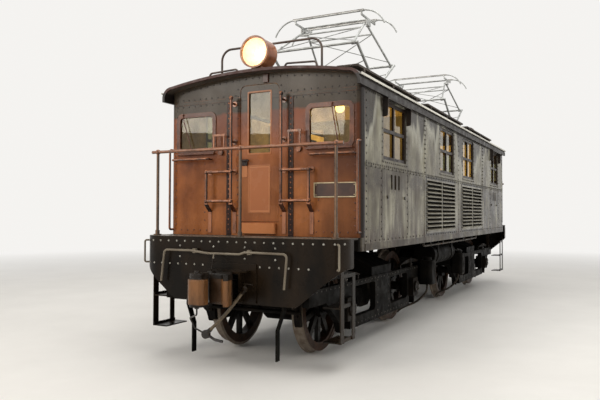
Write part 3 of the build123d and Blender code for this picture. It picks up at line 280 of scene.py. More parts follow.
def rivets(name, places, outward, radius, material, body="body", rise=0.55, sides=8):
    """Button heads: a ring has radius r cos(t) and stands r sin(t) times a rise above the
    sheet for each angle t; the last ring closes to a point and the first, below the sheet,
    to a flat."""
    outward = unit(outward)
    across = unit(np.cross([0, 0, 1.0], outward))
    up = np.cross(outward, across)
    turn = np.arange(sides) * 2 * np.pi / sides
    circle = np.cos(turn)[:, None, None] * across + np.sin(turn)[:, None, None] * up
    rings = [places + radius * (circle * math.cos(t) + outward * math.sin(t) * rise) for t in (-0.35, 0.87)]
    pole = (places + radius * rise * outward)[None]
    points = np.concatenate(rings + [pole]).transpose(1, 0, 2)
    k = np.arange(sides)
    n = (k + 1) % sides
    wall = np.stack([k, n, n + sides, k + sides], 1)
    cap = np.stack([k + sides, n + sides, np.full(sides, 2 * sides)], 1)
    start = np.arange(len(places))[:, None, None] * (2 * sides + 1)
    faces = [(part + start).reshape(-1, part.shape[1]).tolist() for part in (wall, cap, k[None, ::-1])]
    add_mesh(name, points, sum(faces, []), material, body)


def row(start, end, pitch):
    """Places evenly spaced from one point to another, about a pitch apart."""
    start, end = np.array(start, float), np.array(end, float)
    count = max(2, round(np.linalg.norm(end - start) / pitch) + 1)
    return start + (end - start) * np.linspace(0, 1, count)[:, None]


def both_sides(places):
    """Places on the right side and their mirror images on the left."""
    return np.concatenate([places, places * [-1, 1, 1]])


def clouded(name, roughness, first, second, scale, reach=(0.35, 0.7), detail=5, **values):
    """A finish whose colour lies in clouds between two shades."""
    material = finish(name, roughness, **values)
    feed(noise(material, scale, detail=detail).ramp(*reach).mix(first, second), "Base Color")
    return material


ROW_END = 4.50
BESIDE_WINDOW, HALF_WINDOW, UNDER_WINDOW = 0.485, 0.45, 2.312
# z, pitch and stand-out of each row along the wall
SIDE_ROWS = [(2.259, 0.075, 0.005), (2.233, 0.150, 0.005), (1.378, 0.150, 0.0), (3.085, 0.060, 0.0)]
# y, lowest and highest z, pitch and stand-out of each column, at both signs of y
SIDE_COLUMNS = [
    (4.490, 1.43, 3.05, 0.085, 0.0),
    (3.990, 1.42, 2.20, 0.085, 0.0),
    (2.975, 1.42, 2.20, 0.085, 0.0),
    (2.157, 2.29, 3.04, 0.070, 0.004),
    (2.111, 2.29, 3.04, 0.070, 0.004),
]
SIDE_COLUMNS += [(y + side * BESIDE_WINDOW, 2.32, 3.03, 0.075, 0.0) for y in WINDOW_YS for side in (-1, 1)]
MIDDLE_COLUMNS = [(0.0, 1.42, 2.20, 0.085, 0.0), (0.0, 2.29, 3.04, 0.085, 0.0)]
COLUMNS = MIDDLE_COLUMNS + [(sign * y, *rest) for y, *rest in SIDE_COLUMNS for sign in (-1, 1)]
side_places = [row((SIDE_X + proud, -ROW_END, z), (SIDE_X + proud, ROW_END, z), pitch)
               for z, pitch, proud in SIDE_ROWS]
side_places += [row((SIDE_X + proud, y, low), (SIDE_X + proud, y, high), pitch)
                for y, low, high, pitch, proud in COLUMNS]
side_places += [row((SIDE_X, y - HALF_WINDOW, UNDER_WINDOW), (SIDE_X, y + HALF_WINDOW, UNDER_WINDOW), 0.075)
                for y in (*WINDOW_YS, *(-y for y in WINDOW_YS))]
side_places = both_sides(np.concatenate(side_places))
# the rivet and bolt heads painted dark as their shading
rivet_paint = clouded("rivet_paint", 0.34, (26, 22, 18), (62, 56, 48), 6.0, (0.4, 0.65))
rivets("side_rivets", side_places, side_places * [1, 0, 0], 0.014, rivet_paint)

# Panel seams and bolts of the side walls: a thin dark lap under each panel's edge, and two
# hexagon bolts below each cab window.
SEAM_YS = (-3.963, 3.963, -2.95, 2.95, 0.0)
SEAM_Z = (1.36, 2.226)
BOLT_YS, BOLT_Z = (-3.776, -3.105, 3.776, 3.105), 1.89


def slab(x, y, z):
    """A plate between limits on each axis."""
    corners = np.array([(a, b, c) for b in y for c in z for a in x], float)
    return corners, [(0, 1, 3, 2), (4, 6, 7, 5), (0, 4, 5, 1), (2, 3, 7, 6), (0, 2, 6, 4), (1, 5, 7, 3)]


def joined(name, parts, material, body="body", smooth=False, bevel=None):
    """Several closed shapes as one piece; a part is its points and its faces."""
    points, faces, start = [], [], 0
    for corners, sides in parts:
        points.append(corners)
        faces += [tuple(int(index) + start for index in side) for side in sides]
        start += len(corners)
    piece = add_mesh(name, np.concatenate(points), faces, material, body, smooth)
    if bevel:
        rounded = piece.modifiers.new("edges", "BEVEL")
        rounded.width = bevel
        rounded.segments = 2
        rounded.limit_method = "ANGLE"


def mirrored(parts):
    """The same parts on the left side, their faces turned to point outwards again."""
    return [(corners * [-1, 1, 1], [side[::-1] for side in sides]) for corners, sides in parts]


def skinned(rings):
    """A closed tube through rings of points: a quad between each two neighbours on each two
    rings, and a flat at each end."""
    count, sides = rings.shape[:2]
    i, k = np.meshgrid(np.arange(count - 1), np.arange(sides), indexing="ij")
    n = (k + 1) % sides
    quads = np.stack([i * sides + k, i * sides + n, (i + 1) * sides + n, (i + 1) * sides + k], -1)
    caps = [range(sides)[::-1], range((count - 1) * sides, count * sides)]
    return rings.reshape(-1, 3), quads.reshape(-1, 4).tolist() + caps


def hexagon_bolts(places, radius, depth):
    """Hexagon heads: six corners on a circle across X, carried out along it and closed at the
    top by a smaller hexagon."""
    turn = np.arange(6) * np.pi / 3
    head = [np.stack([np.full(6, depth * share), np.cos(turn) * radius * size, np.sin(turn) * radius * size], 1)
            for share, size in ((-0.3, 1.0), (0.75, 1.0), (1.0, 0.8))]
    return [skinned(np.array(head) + place) for place in places]


seam_finish = clouded("seam_finish", 0.5, (26, 22, 18), (50, 43, 35), 8.0, (0.35, 0.65))
laps = [slab((SIDE_X - 0.004, SIDE_X + 0.0016), (y - 0.004, y + 0.004), SEAM_Z) for y in SEAM_YS]
joined("side_seams", laps + mirrored(laps), seam_finish)
side_bolts = hexagon_bolts([(SIDE_X, y, BOLT_Z) for y in BOLT_YS], 0.022, 0.018)
joined("side_bolts", side_bolts + mirrored(side_bolts), rivet_paint)

# End walls: one riveted sheet with rounded corners and the door in it, varnished brown.
# Towards the deck it is painted lighter and more orange as lamplight on it; above the windows
# it is painted grey-brown as the shade under the eave, and the corners that turn to the side walls are nearly black.
END_Y = -4.620
ROOF_RADIUS, ROOF_UNDER_CROWN = 6.723, 3.366
COPPER_WORN = (190, 122, 78)


def end_colour(material):
    """Orange-brown low down, painted as lamplight; dark red-brown beside the windows and grey-brown
    above them, painted as the shade under the eave; with clouds, painted shade over one side, a
    dark corner and dark posts, the posts' dark painted as the climbing irons' shade."""
    up, out = along(material, "Z"), off(material, "X")
    clouds = noise(material, 1.6, (1, 1, 0.8), detail=6).ramp(0.34, 0.66)
    streak = noise(material, 7.0, (1, 1, 0.12), detail=6).ramp(0.45, 0.75)
    # low down the brown is painted lighter and more orange, as lamplight on it
    low = (streak * 0.5).mix(clouds.mix((128, 72, 36), (190, 118, 66)), (92, 48, 22))
    sway = up + noise(material, 1.1).ramp(0.3, 0.7, -0.22, 0.22)
    colour = sway.ramp(1.95, 2.80).mix(low, clouds.mix((88, 43, 24), (142, 78, 46)))
    # painted shade over one side of the wall
    shade = along(material, "X") * along(material, "Y").worked("SIGN")
    shade = shade + noise(material, 2.4).ramp(0.3, 0.7, -0.15, 0.15)
    colour = shade.ramp(-0.55, -0.95, 0, 0.5).mix(colour, (62, 36, 20))
    # above the windows the wall is painted grey-brown as the shade under the eave
    edge = up + noise(material, 2.2, (1, 1, 0.3)).ramp(0.3, 0.7, -0.03, 0.03)
    colour = edge.ramp(2.895, 2.93).mix(colour, clouds.mix((56, 48, 38), (78, 67, 54)))
    lap = up.band(3.055, 3.063, 0.002) | up.band(3.102, 3.105, 0.002)
    colour = (lap * 0.9).mix(colour, (22, 17, 14))
    # the posts' cover strips painted dark as the shade of the climbing irons in front of them
    post_shade = out.band(0.394, 0.466, 0.002) * up.ramp(3.07, 3.06)
    return out.ramp(1.278, 1.302).mix(post_shade.mix(colour, (46, 26, 18)), (28, 21, 17))


end_paint = finish("end_paint", 0.26, coat=0.04, specular=0.18)
varnish(end_paint, 0.26, 0.004)
end_out, end_across = off(end_paint, "Y"), off(end_paint, "X")
end_lit_and_worn = (edge_wear(end_paint, 0.006) * 0.8).mix(end_colour(end_paint), COPPER_WORN)
# the door's threshold painted bright orange as a highlight
threshold = along(end_paint, "Z").band(1.44, 1.572, 0.002) * end_out.ramp(4.622, 4.626)
end_lit_and_worn = (threshold * end_across.ramp(0.25, 0.245)).mix(end_lit_and_worn, (204, 130, 80))
lined(end_out.ramp(4.585, 4.58) * end_across.ramp(1.277, 1.273), end_lit_and_worn)
dress(end_paint, "end_wall_a", "end_wall_b")


def under_roof(x):
    """The height of the roof's underside across the body: a circle through its crown."""
    return ROOF_UNDER_CROWN - ROOF_RADIUS + np.sqrt(ROOF_RADIUS**2 - x**2)


def both_ends(places):
    """Places at end a and the same places turned half round for end b."""
    return np.concatenate([places, places * [-1, -1, 1]])


# x and z of one end, x and z of the other end, pitch: rows on both sides of the door first
PAIRED_ROWS = [(0.500, 3.040, 1.220, 3.040, 0.090), (0.340, 3.125, 1.220, 3.125, 0.090),
               (0.760, 1.475, 1.250, 1.475, 0.100), (1.235, 1.550, 1.235, 3.000, 0.085)]
SINGLE_ROWS = [(-0.305, 1.660, -0.305, 2.260, 0.085), (-0.305, 2.400, -0.305, 3.200, 0.085),
               (0.300, 1.660, 0.300, 3.200, 0.085), (-0.790, 1.600, -0.790, 2.300, 0.100),
               (0.790, 1.600, 0.790, 1.840, 0.100)]
END_ROWS = PAIRED_ROWS + [(-x0, z0, -x1, z1, pitch) for x0, z0, x1, z1, pitch in PAIRED_ROWS] + SINGLE_ROWS
end_places = [row((x0, END_Y, z0), (x1, END_Y, z1), pitch) for x0, z0, x1, z1, pitch in END_ROWS]
arch_x = np.linspace(-1.14, 1.14, 25)
end_places.append(np.stack([arch_x, np.full(25, END_Y), under_roof(arch_x) - 0.05], 1))
end_places = both_ends(np.concatenate(end_places))
end_rivet_paint = finish("end_rivet_paint", 0.3, coat=0.4)
end_rivet_low = noise(end_rivet_paint, 5.0).ramp(0.4, 0.6).mix((62, 34, 25), (124, 72, 48))
# the rivet heads painted dark above the windows, as the shade under the eave
feed(along(end_rivet_paint, "Z").ramp(2.87, 2.94).mix(end_rivet_low, (44, 36, 31)), "Base Color")
rivets("end_rivets", end_places, end_places * [0, 1, 0], 0.0115, end_rivet_paint)

# Doors: a leaf in the same varnish and painted light and shade, its mouldings and a frame round
# its panel painted light as highlights, with a black iron latch and a brass-brown lock plate.
DOOR_FACE = 4.614
door_paint = finish("door_paint", 0.24, coat=0.05, specular=0.2)
varnish(door_paint, 0.24, 0.002)
door_out, door_up, door_across = off(door_paint, "Y"), along(door_paint, "Z"), off(door_paint, "X")
on_door = door_out.ramp(DOOR_FACE + 0.0055, DOOR_FACE + 0.007)
# where each part of the leaf is, and its colour: worn corners; the mouldings and the frame
# round the panel, painted lighter as highlights; the panel, the lock plate and the latch
door_layers = (
    (edge_wear(door_paint, 0.005), (184, 118, 78)),
    (door_out.ramp(DOOR_FACE + 0.002, DOOR_FACE + 0.004, 0, 0.7), (184, 118, 76)),
    (door_across.ramp(0.139, 0.136) * door_up.band(1.71, 2.248, 0.003) * 0.7, (226, 156, 108)),
    (door_across.ramp(0.130, 0.128) * door_up.band(1.721, 2.237, 0.002) * 0.85, (170, 102, 62)),
    (on_door * door_up.band(2.12, 2.2635, 0.001), (190, 122, 76)),
    (on_door * door_up.band(2.2645, 2.345, 0.001), (44, 32, 27)),
)
door_colour = end_colour(door_paint)
for share, shade in door_layers:
    door_colour = share.mix(door_colour, shade)
lined(door_out.ramp(4.585, 4.580), door_colour)
dress(door_paint, "door_a", "door_b")

# Posts beside the door: a steel cover strip on each side, painted dark in the end wall's paint as
# the shade of the climbing irons, closely riveted to the end wall, the rivets' heads rubbed to copper.
POST_X = 0.43
copper_rivet = clouded("copper_rivet", 0.4, (84, 44, 28), (190, 112, 68), 24.0, (0.42, 0.58))
post_places = both_ends(np.concatenate([row((x, END_Y - 0.008, 1.49), (x, END_Y - 0.008, 3.04), 0.062)
                                        for x in (-POST_X, POST_X)]))
rivets("post_rivets", post_places, post_places * [0, 1, 0], 0.0115, copper_rivet)

# Number plates: a blank enamelled plate with a raised cream border, screwed to each end
# wall right of its ladder.
PLATE_X, PLATE_Z = (0.733, 1.258), (1.870, 2.040)
BORDER, SCREW_IN = 0.011, 0.028
BORDER_Y = (END_Y - 0.017, END_Y - 0.010)


def half_turned(parts):
    """The same parts turned half round for end b."""
    return [(corners * [-1, -1, 1], sides) for corners, sides in parts]


plate_ground = clouded("plate_ground", 0.34, (52, 30, 20), (78, 48, 32), 7.0, (0.35, 0.65), coat=0.1)
plate_border = clouded("plate_border", 0.38, (222, 206, 166), (168, 142, 104), 18.0, (0.4, 0.75))
plate_back = [slab(PLATE_X, (END_Y - 0.012, END_Y + 0.002), PLATE_Z)]
borders = [slab(PLATE_X, BORDER_Y, z) for z in ((PLATE_Z[0], PLATE_Z[0] + BORDER), (PLATE_Z[1] - BORDER, PLATE_Z[1]))]
borders += [slab(x, BORDER_Y, PLATE_Z) for x in ((PLATE_X[0], PLATE_X[0] + BORDER), (PLATE_X[1] - BORDER, PLATE_X[1]))]
plate_screws = both_ends(np.array([(x, END_Y - 0.012, z) for x in (PLATE_X[0] + SCREW_IN, PLATE_X[1] - SCREW_IN)
                                   for z in (PLATE_Z[0] + SCREW_IN, PLATE_Z[1] - SCREW_IN)]))
joined("number_plates", plate_back + half_turned(plate_back), plate_ground, bevel=0.002)
joined("plate_borders", borders + half_turned(borders), plate_border, bevel=0.0015)
rivets("plate_screws", plate_screws, plate_screws * [0, 1, 0], 0.008, plate_border)

# Windows: flat panes under a thin film of dust, held in dark brown sashes, with varnished
# rings, ledges and wipers on the end windows.
glass = clouded("window_glass", 0.03, (176, 174, 142), (118, 112, 82), 5.0, (0.4, 0.75), clear=1.0, ior=1.45)
feed(noise(glass, 22.0).ramp(0.5, 0.8, 0.012, 0.08), "Roughness")
dress(glass, "window_glass", "door_glass_a", "door_glass_b")


def paint(name, colour, lighter, darker, gloss=0.32, wear=None, scale=3.0, wave=0.001, **values):
    """Worn paint on a fitting: clouds of a lighter and a darker shade, and worn corners."""
    material = finish(name, gloss, **{"coat": 0.1, "coat_roughness": 0.15, "specular": 0.3, **values})
    clouds = noise(material, scale).ramp(0.45, 0.7)
    soot = noise(material, scale * 2.3, detail=8).ramp(0.5, 0.7, 0, 0.75)
    shade = soot.mix(clouds.mix(colour, lighter), darker)
    if wear:
        shade = edge_wear(material, 0.005).mix(shade, wear)
    feed(shade, "Base Color")
    feed(noise(material, 8.0).ramp(0.3, 0.75, gloss * 0.7, min(1, gloss * 1.7)), "Roughness")
    relief(noise(material, 4.0, detail=2), wave)
    return material


sash_paint = paint("sash_paint", (30, 21, 16), (48, 35, 27), (17, 12, 10), 0.36, (78, 56, 42), specular=0.15, coat=0.04)
dress(sash_paint, "sashes")
ring_paint = paint("ring_paint", (84, 46, 31), (128, 76, 50), (46, 28, 21), 0.26, (208, 146, 102))
dress(ring_paint, "end_window_rings")

# Louvre banks: pressed steel slats in two columns, their faces pale and their undersides
# painted dark as shade, darker along the banks' edges, with a fine dust screen fixed behind
# each bank and behind the three vents of each cab.
SCREEN_X = (1.262, 1.2745)
VENT_Y = 3.476
louvre_paint = finish("louvre_paint", 0.36)
slat_colour = noise(louvre_paint, 4.0, (1, 0.25, 1), detail=7).ramp(0.35, 0.7).mix((138, 134, 118), (92, 85, 70))
# the slats' undersides and the parts behind their faces painted dark as shade
slat_colour = off(louvre_paint, "X").ramp(1.322, 1.305).mix(slat_colour, (30, 26, 22))
# the slats painted darker along the inside of the bank's outline, as shade
feed(off_bank(louvre_paint).ramp(-0.016, -0.008, 0, 0.85).mix(slat_colour, BANK_SHADE), "Base Color")
varnish(louvre_paint, 0.34, 0.001)
dress(louvre_paint, "louvres")
screen_mesh = clouded("screen_mesh", 0.7, (14, 12, 10), (34, 29, 23), 16.0, (0.4, 0.7), detail=7)
relief(noise(screen_mesh, 90.0, detail=2), 0.002)
screens = [slab(SCREEN_X, (y - 0.93, y + 0.93), (1.446, 2.23)) for y in (-BANK_Y, BANK_Y)]
screens += [slab(SCREEN_X, (y - 0.21, y + 0.21), (1.95, 2.20)) for y in (-VENT_Y, VENT_Y)]
joined("dust_screens", screens + mirrored(screens), screen_mesh)

# Roof and awnings: canvas-covered sheet under many coats of dull dark paint, painted darker as
# shade below the eaves, with a rain gutter along both eaves painted pale as its highlight, and
# cream boards inside.
ROOF_END, GUTTER_X, EAVE_Z = (4.735, 4.750), (1.356, 1.366), (3.235, 3.205)


def facing(material, axis, normal="Normal"):
    """How far a surface looks along one axis, from -1 to 1."""
    look = add_node(material, "ShaderNodeNewGeometry", {}, normal)
    return add_node(material, "ShaderNodeSeparateXYZ", {"Vector": look}, axis)


roof_paint = finish("roof_paint", 0.5)
roof_across, roof_out = off(roof_paint, "X"), off(roof_paint, "Y")
roof_colour = noise(roof_paint, 2.1, detail=7).ramp(0.35, 0.7).mix((48, 40, 34), (86, 77, 67))
roof_colour = roof_out.ramp(*ROOF_END).mix(roof_colour, (62, 30, 21))
# the roof's shoulder below the eave painted near black as shade
roof_colour = along(roof_paint, "Z").ramp(*EAVE_Z).mix(roof_colour, (26, 20, 17))
# a pale highlight painted along the gutter, in patches
gutter_highlight = roof_across.ramp(*GUTTER_X) * noise(roof_paint, 6.0, (1, 0.3, 1)).ramp(0.3, 0.6, 0.7, 1.0)
roof_colour = gutter_highlight.mix(roof_colour, (228, 225, 214))
ceiling = facing(roof_paint, "Z", "True Normal").ramp(-0.2, -0.4)
ceiling = ceiling * roof_out.ramp(4.60, 4.58) * roof_across.ramp(1.30, 1.28)
feed(ceiling.mix(roof_colour, CREAM), "Base Color")
lamplight(ceiling, middle=0.35)
feed(noise(roof_paint, 9.0).ramp(0.3, 0.75, 0.34, 0.7), "Roughness")
relief(noise(roof_paint, 2.6, detail=3), 0.004)
dress(roof_paint, "roof")
awning_paint = paint("awning_paint", (30, 23, 19), (52, 42, 35), (18, 14, 12), 0.36, (84, 64, 50))
dress(awning_paint, "awnings")

# Roof laps: the canvas is laid in widths across the roof, each lap a low welt that follows
# the arch from shoulder to shoulder.
ROOF_CROWN, ARCH_X, ARCH_Z = 3.400, 1.215, 3.288
ARCH_RADIUS = (ARCH_X**2 + (ROOF_CROWN - ARCH_Z) ** 2) / (2 * (ROOF_CROWN - ARCH_Z))
LAP_YS = np.linspace(-4.2, 4.2, 8)


def welt(y, half=0.016, rise=0.0035, sunk=0.004, columns=33):
    """A welt across the roof: height is the arch's circle plus a rise, and the section along
    the body is a low closed rectangle."""
    x = np.linspace(-ARCH_X + 0.02, ARCH_X - 0.02, columns)
    z = ROOF_CROWN - ARCH_RADIUS + np.sqrt(ARCH_RADIUS**2 - x**2)
    section = np.array([(0, -half, -sunk), (0, half, -sunk), (0, half * 0.7, rise), (0, -half * 0.7, rise)])
    return skinned(np.stack([x, np.full(columns, y), z], 1)[:, None] + section)


joined("roof_laps", [welt(y) for y in LAP_YS], roof_paint)

# Handrails, climbing irons, lamp irons and roof hoops: bent pipe in brown-black paint, screwed
# on with flanged feet. The rails and irons have copper highlights painted on their tops and
# outward ends, and the railing's top rail is painted lighter as a highlight.
rail_paint = finish("rail_paint", 0.24, coat=0.35, coat_roughness=0.08, specular=0.3)
rail_clouds = noise(rail_paint, 5.0, (1, 1, 0.5)).ramp(0.42, 0.6)
rail_ends = facing(rail_paint, "Y") * along(rail_paint, "Y").worked("SIGN")
# copper highlights painted in patches where the pipe faces up or outwards from the end
rail_highlight = facing(rail_paint, "Z").ramp(0.35, 0.8) | rail_ends.ramp(0.8, 0.98, 0.0, 0.6)
rail_highlight = rail_highlight * noise(rail_paint, 7.0, (1, 1, 0.4)).ramp(0.38, 0.58, 0.25, 1.0)
rail_colour = rail_highlight.mix(rail_clouds.mix((34, 21, 16), (78, 44, 29)), (226, 146, 98))
rail_up, rail_out = along(rail_paint, "Z"), off(rail_paint, "Y")
# the railing's top rail painted lighter brown as a highlight
top_rail_highlight = rail_up.band(2.395, 2.475, 0.01) * rail_out.ramp(4.95, 4.98, 0.0, 0.5)
rail_colour = top_rail_highlight.mix(rail_colour, (112, 74, 50))
posts = rail_up.ramp(2.40, 2.38) * rail_out.ramp(4.95, 4.98, 0.0, 0.85)
post_colour = rail_highlight.mix(rail_clouds.mix((58, 46, 35), (92, 76, 58)), (138, 112, 84))
feed(posts.mix(rail_colour, post_colour), "Base Color")
feed(noise(rail_paint, 20.0).ramp(0.3, 0.7, 0.16, 0.4), "Roughness")
dress(rail_paint, "end_rails", "lamp_brackets", "railing_a", "railing_b")
hoop_paint = paint("hoop_paint", (70, 54, 46), (108, 92, 80), (40, 32, 28), 0.34, (132, 104, 84))
dress(hoop_paint, "roof_hoops")

# Cable covers: a short pressed strip over the headlight's cable where it leaves the end wall
# under the roof, in the dark brown of the door posts.
COVER_X, COVER_Z = (0.056, 0.128), (3.250, 3.352)
cover_paint = paint("cover_paint", (58, 30, 20), (84, 46, 30), (30, 18, 13), 0.3, (150, 92, 60))
covers = [slab(COVER_X, (END_Y - 0.020, END_Y + 0.002), COVER_Z)]
joined("cable_covers", covers + half_turned(covers), cover_paint, bevel=0.005)

# Headlights: copper-brown drums with a bright rim, each with a silvered dish that glows as a
# painted reflection of its lamp, orange towards the rim, and a lit lamp behind a flat glass.
LAMP_PLACE = (0.0, -4.760, 3.604)
DISH_EDGE, DISH_DEPTH, DISH_RADIUS = 0.022, 0.150, 0.168
BULB_MIDDLE, BULB_RADIUS = 0.110, 0.035
DISH_COLOUR, DISH_RIM_REFLECTION = (255, 222, 168), (206, 128, 62)
lamp_paint = paint("lamp_paint", (142, 82, 48), (186, 124, 80), (88, 50, 33), 0.2, (232, 184, 130))
dress(lamp_paint, "headlights")
lens = clouded("headlight_lens", 0.05, (255, 250, 236), (255, 240, 208), 9.0, clear=1.0)
dress(lens, "headlight_glass")


def spun(profile, sides, middle, axis=1):
    """A profile of distances d along an axis and radii r, turned round that axis: at angle t
    a point lies d along it and r cos(t) and r sin(t) across it. The first and the last place
    of the profile, where r is nothing, close to poles."""
    turn = np.arange(sides) * 2 * np.pi / sides
    rings = np.array([np.stack([np.full(sides, d), r * np.cos(turn), r * np.sin(turn)], 1) for d, r in profile])
    points = np.concatenate([rings[0, :1], rings[1:-1].reshape(-1, 3), rings[-1, :1]])
    k = np.arange(sides)
    n = (k + 1) % sides
    start = 1 + np.arange(len(profile) - 3)[:, None] * sides
    walls = np.stack([start + k, start + n, start + sides + n, start + sides + k], -1).reshape(-1, 4)
    pole = len(points) - 1
    caps = np.concatenate([np.stack([0 * k, 1 + n, 1 + k], 1), pole + np.stack([k - sides, n - sides, 0 * k], 1)])
    return np.roll(points, axis, axis=1) + middle, walls.tolist() + caps.tolist()


def glow(name, colour, strength, roughness=0.2):
    """A lit surface: its own colour, and light of that colour, a little uneven."""
    material = finish(name, roughness, glow=strength)
    tint = noise(material, 12.0).ramp(0.3, 0.7).mix(colour, tuple(int(value * 0.9) for value in colour))
    feed(tint, "Base Color")
    feed(tint, "Emission Color")
    return material


# the dish glows as the painted reflection of the bulb, fading to orange at its rim
dish_reflection = glow("lit_dish_reflection", DISH_COLOUR, 0.75, 0.15)
dish_front = off(dish_reflection, "Y") + LAMP_PLACE[1]
feed(dish_front.ramp(-0.024, -0.072).mix(DISH_RIM_REFLECTION, DISH_COLOUR), "Emission Color")
bulb_glow = glow("lit_bulb", (255, 240, 208), 9.0)
dish_steps = np.linspace(0, 0.96, 12)
dish_inner = [(DISH_EDGE + DISH_DEPTH * step, DISH_RADIUS * math.sqrt(1 - step)) for step in dish_steps]
dish_outer = [(depth + 0.008 * step, radius + 0.003) for step, (depth, radius) in zip(dish_steps, dish_inner)]
dish_profile = [(0.172, 0.0)] + dish_inner[::-1] + dish_outer + [(0.181, 0.0)]
bulb_profile = [(BULB_MIDDLE - BULB_RADIUS * math.cos(t), BULB_RADIUS * math.sin(t)) for t in np.linspace(0.4, 2.6, 7)]
bulb_profile = [(BULB_MIDDLE - BULB_RADIUS, 0.0)] + bulb_profile + [(0.160, 0.018), (0.170, 0.0)]
for label, profile, sides, material in (("headlight_dishes", dish_profile, 32, dish_reflection),
                                        ("headlight_bulbs", bulb_profile, 20, bulb_glow)):
    lamp_part = [spun(profile, sides, LAMP_PLACE)]
    joined(label, lamp_part + half_turned(lamp_part), material, smooth=True)

# Walkways: weathered boards laid end to end along both sides of the roof, screwed to iron
# feet that stand on it.
boards = finish("walkway_boards", 0.75)
plank = noise(boards, 30.0, (1, 0.05, 1), detail=8).ramp(0.35, 0.7)
board_colour = noise(boards, 2.5).ramp(0.4, 0.7).mix(plank.mix((58, 50, 44), (96, 86, 76)), (48, 42, 38))
feed(board_colour, "Base Color")
relief(plank, 0.003)
dress(boards, "walkways")

# Pantographs: light grey painted tube frames, with dark rubbed strips along the tops of the
# shoes, on brown porcelain insulators.
PANTO_PARTS = ("panto_bases", "panto_lower", "panto_upper", "panto_head")
silver = paint("panto_paint", (166, 168, 166), (192, 194, 192), (92, 90, 86), 0.3, (120, 112, 104), metallic=0.3)
shoe_top = along(silver, "Z").ramp(4.630, 4.636) * noise(silver, 14.0).ramp(0.3, 0.6, 0.6, 1.0)
panto_shade = Value(silver, shader_of(silver).inputs["Base Color"].links[0].from_socket)
feed(shoe_top.mix(panto_shade, (70, 58, 48)), "Base Color")
dress(silver, *[name for name in nodes if name.startswith(PANTO_PARTS)])
porcelain = clouded("insulator_glaze", 0.12, (92, 44, 26), (62, 30, 20), 18.0, coat=0.6, coat_roughness=0.05)
dress(porcelain, "panto_insulators")

# Inside: cab partitions and stands in dull green, the machinery casing in cream, and glass
# globes on stems under the roof, lit.
GLOBES = [CAB_LAMP, (0.0, -1.1, 3.08), (0.0, 1.1, 3.08), (-CAB_LAMP[0], -CAB_LAMP[1], CAB_LAMP[2])]
GLOBE_RADIUS = 0.055
cab_green = paint("cab_green", (66, 62, 36), (88, 82, 48), (40, 38, 24), 0.4)
lamplight(noise(cab_green, 2.0).ramp(0.3, 0.7, 0.5, 1.0), cab=0.3)
dress(cab_green, "partitions", "cab_fittings")
casing = paint("machinery_casing", (196, 180, 128), (214, 200, 150), (132, 116, 76), 0.5)
lamplight(noise(casing, 1.5).ramp(0.3, 0.7, 0.6, 1.0))
dress(casing, "machinery")
globe_glow = glow("lit_globe", (255, 208, 124), 9.0)
stem_brass = paint("stem_brass", (150, 116, 66), (186, 150, 92), (92, 70, 42), 0.25, metallic=0.6)


def stem(place):
    """A stem spun about an upright line, from the globe's cap to a rose under the roof."""
    top = float(under_roof(place[0])) - place[2]
    return spun([(0.045, 0.0), (0.045, 0.024), (0.07, 0.024), (0.075, 0.008), (top - 0.02, 0.008),
                 (top - 0.018, 0.045), (top - 0.004, 0.05), (top - 0.004, 0.0)], 16, place, axis=2)


globe_profile = [(-GLOBE_RADIUS * math.cos(t), GLOBE_RADIUS * math.sin(t)) for t in np.linspace(0.3, 2.7, 9)]
globe_profile = [(-GLOBE_RADIUS, 0.0)] + globe_profile + [(0.052, 0.0)]
globe_parts = [spun(globe_profile, 20, place, axis=2) for place in GLOBES]
joined("lit_globes", globe_parts, globe_glow, smooth=True)
joined("globe_stems", [stem(place) for place in GLOBES], stem_brass)

# Running gear: cast and plate steel under black paint, oil and dust, its colours set darker still
# as painted shade under the body. The sill is the underframe's outer strip and takes the side
# walls' paint.
sill_paint = finish("sill_paint", 0.3, specular=0.1)
varnish(sill_paint, 0.3, 0.003)
# the underframe inside the sill near black, set darker as painted shade
sill_dark = noise(sill_paint, 3.0).ramp(0.4, 0.7).mix((14, 13, 12), (34, 30, 26))
sill_grime = noise(sill_paint, 4.0, (1, 1, 2), detail=7).ramp(0.35, 0.6, 0.15, 0.8)
sill_colour = sill_grime.mix(side_colour(sill_paint), (44, 37, 29))
feed(off(sill_paint, "X").ramp(1.305, 1.315).mix(sill_dark, sill_colour), "Base Color")
dress(sill_paint, "underframe")
# the frames and castings painted darker than their black, as the shade under the body
chassis_paint = paint("chassis_paint", (9, 8, 7), (24, 21, 17), (4, 4, 3), 0.5, (54, 47, 38),
                      wave=0.003, specular=0.04, coat=0.0)
dress(chassis_paint, "reservoirs", "bogie_frame_a", "bogie_frame_b", "side_frames_a", "side_frames_b")
casting = paint("oily_shaded_casting", (12, 10, 8), (32, 26, 20), (5, 4, 4), 0.48, (62, 50, 38),
                wave=0.004, specular=0.06, coat=0.0)
dress(casting, "axleboxes_a", "axleboxes_b", "traction_motors_a", "traction_motors_b", "brake_gear_a", "brake_gear_b")

# Wheels: steel tyres shrunk on cast spoked centres, pressed on their axles. The tread is
# bright, the rim rusty brown, and the oily centre nearly black, rim and centre set darker as painted shade.
AXLE_Z = 0.563
AXLE_YS = {"wheelset_1": -4.165, "wheelset_2": -1.565, "wheelset_3": 1.565, "wheelset_4": 4.165}
RIM_INSIDE, TREAD_INSIDE = (0.425, 0.435), (0.524, 0.530)


def diagonal(first, second):
    """The length of two distances that stand square to each other."""
    return (first * first + second * second).worked("SQRT")


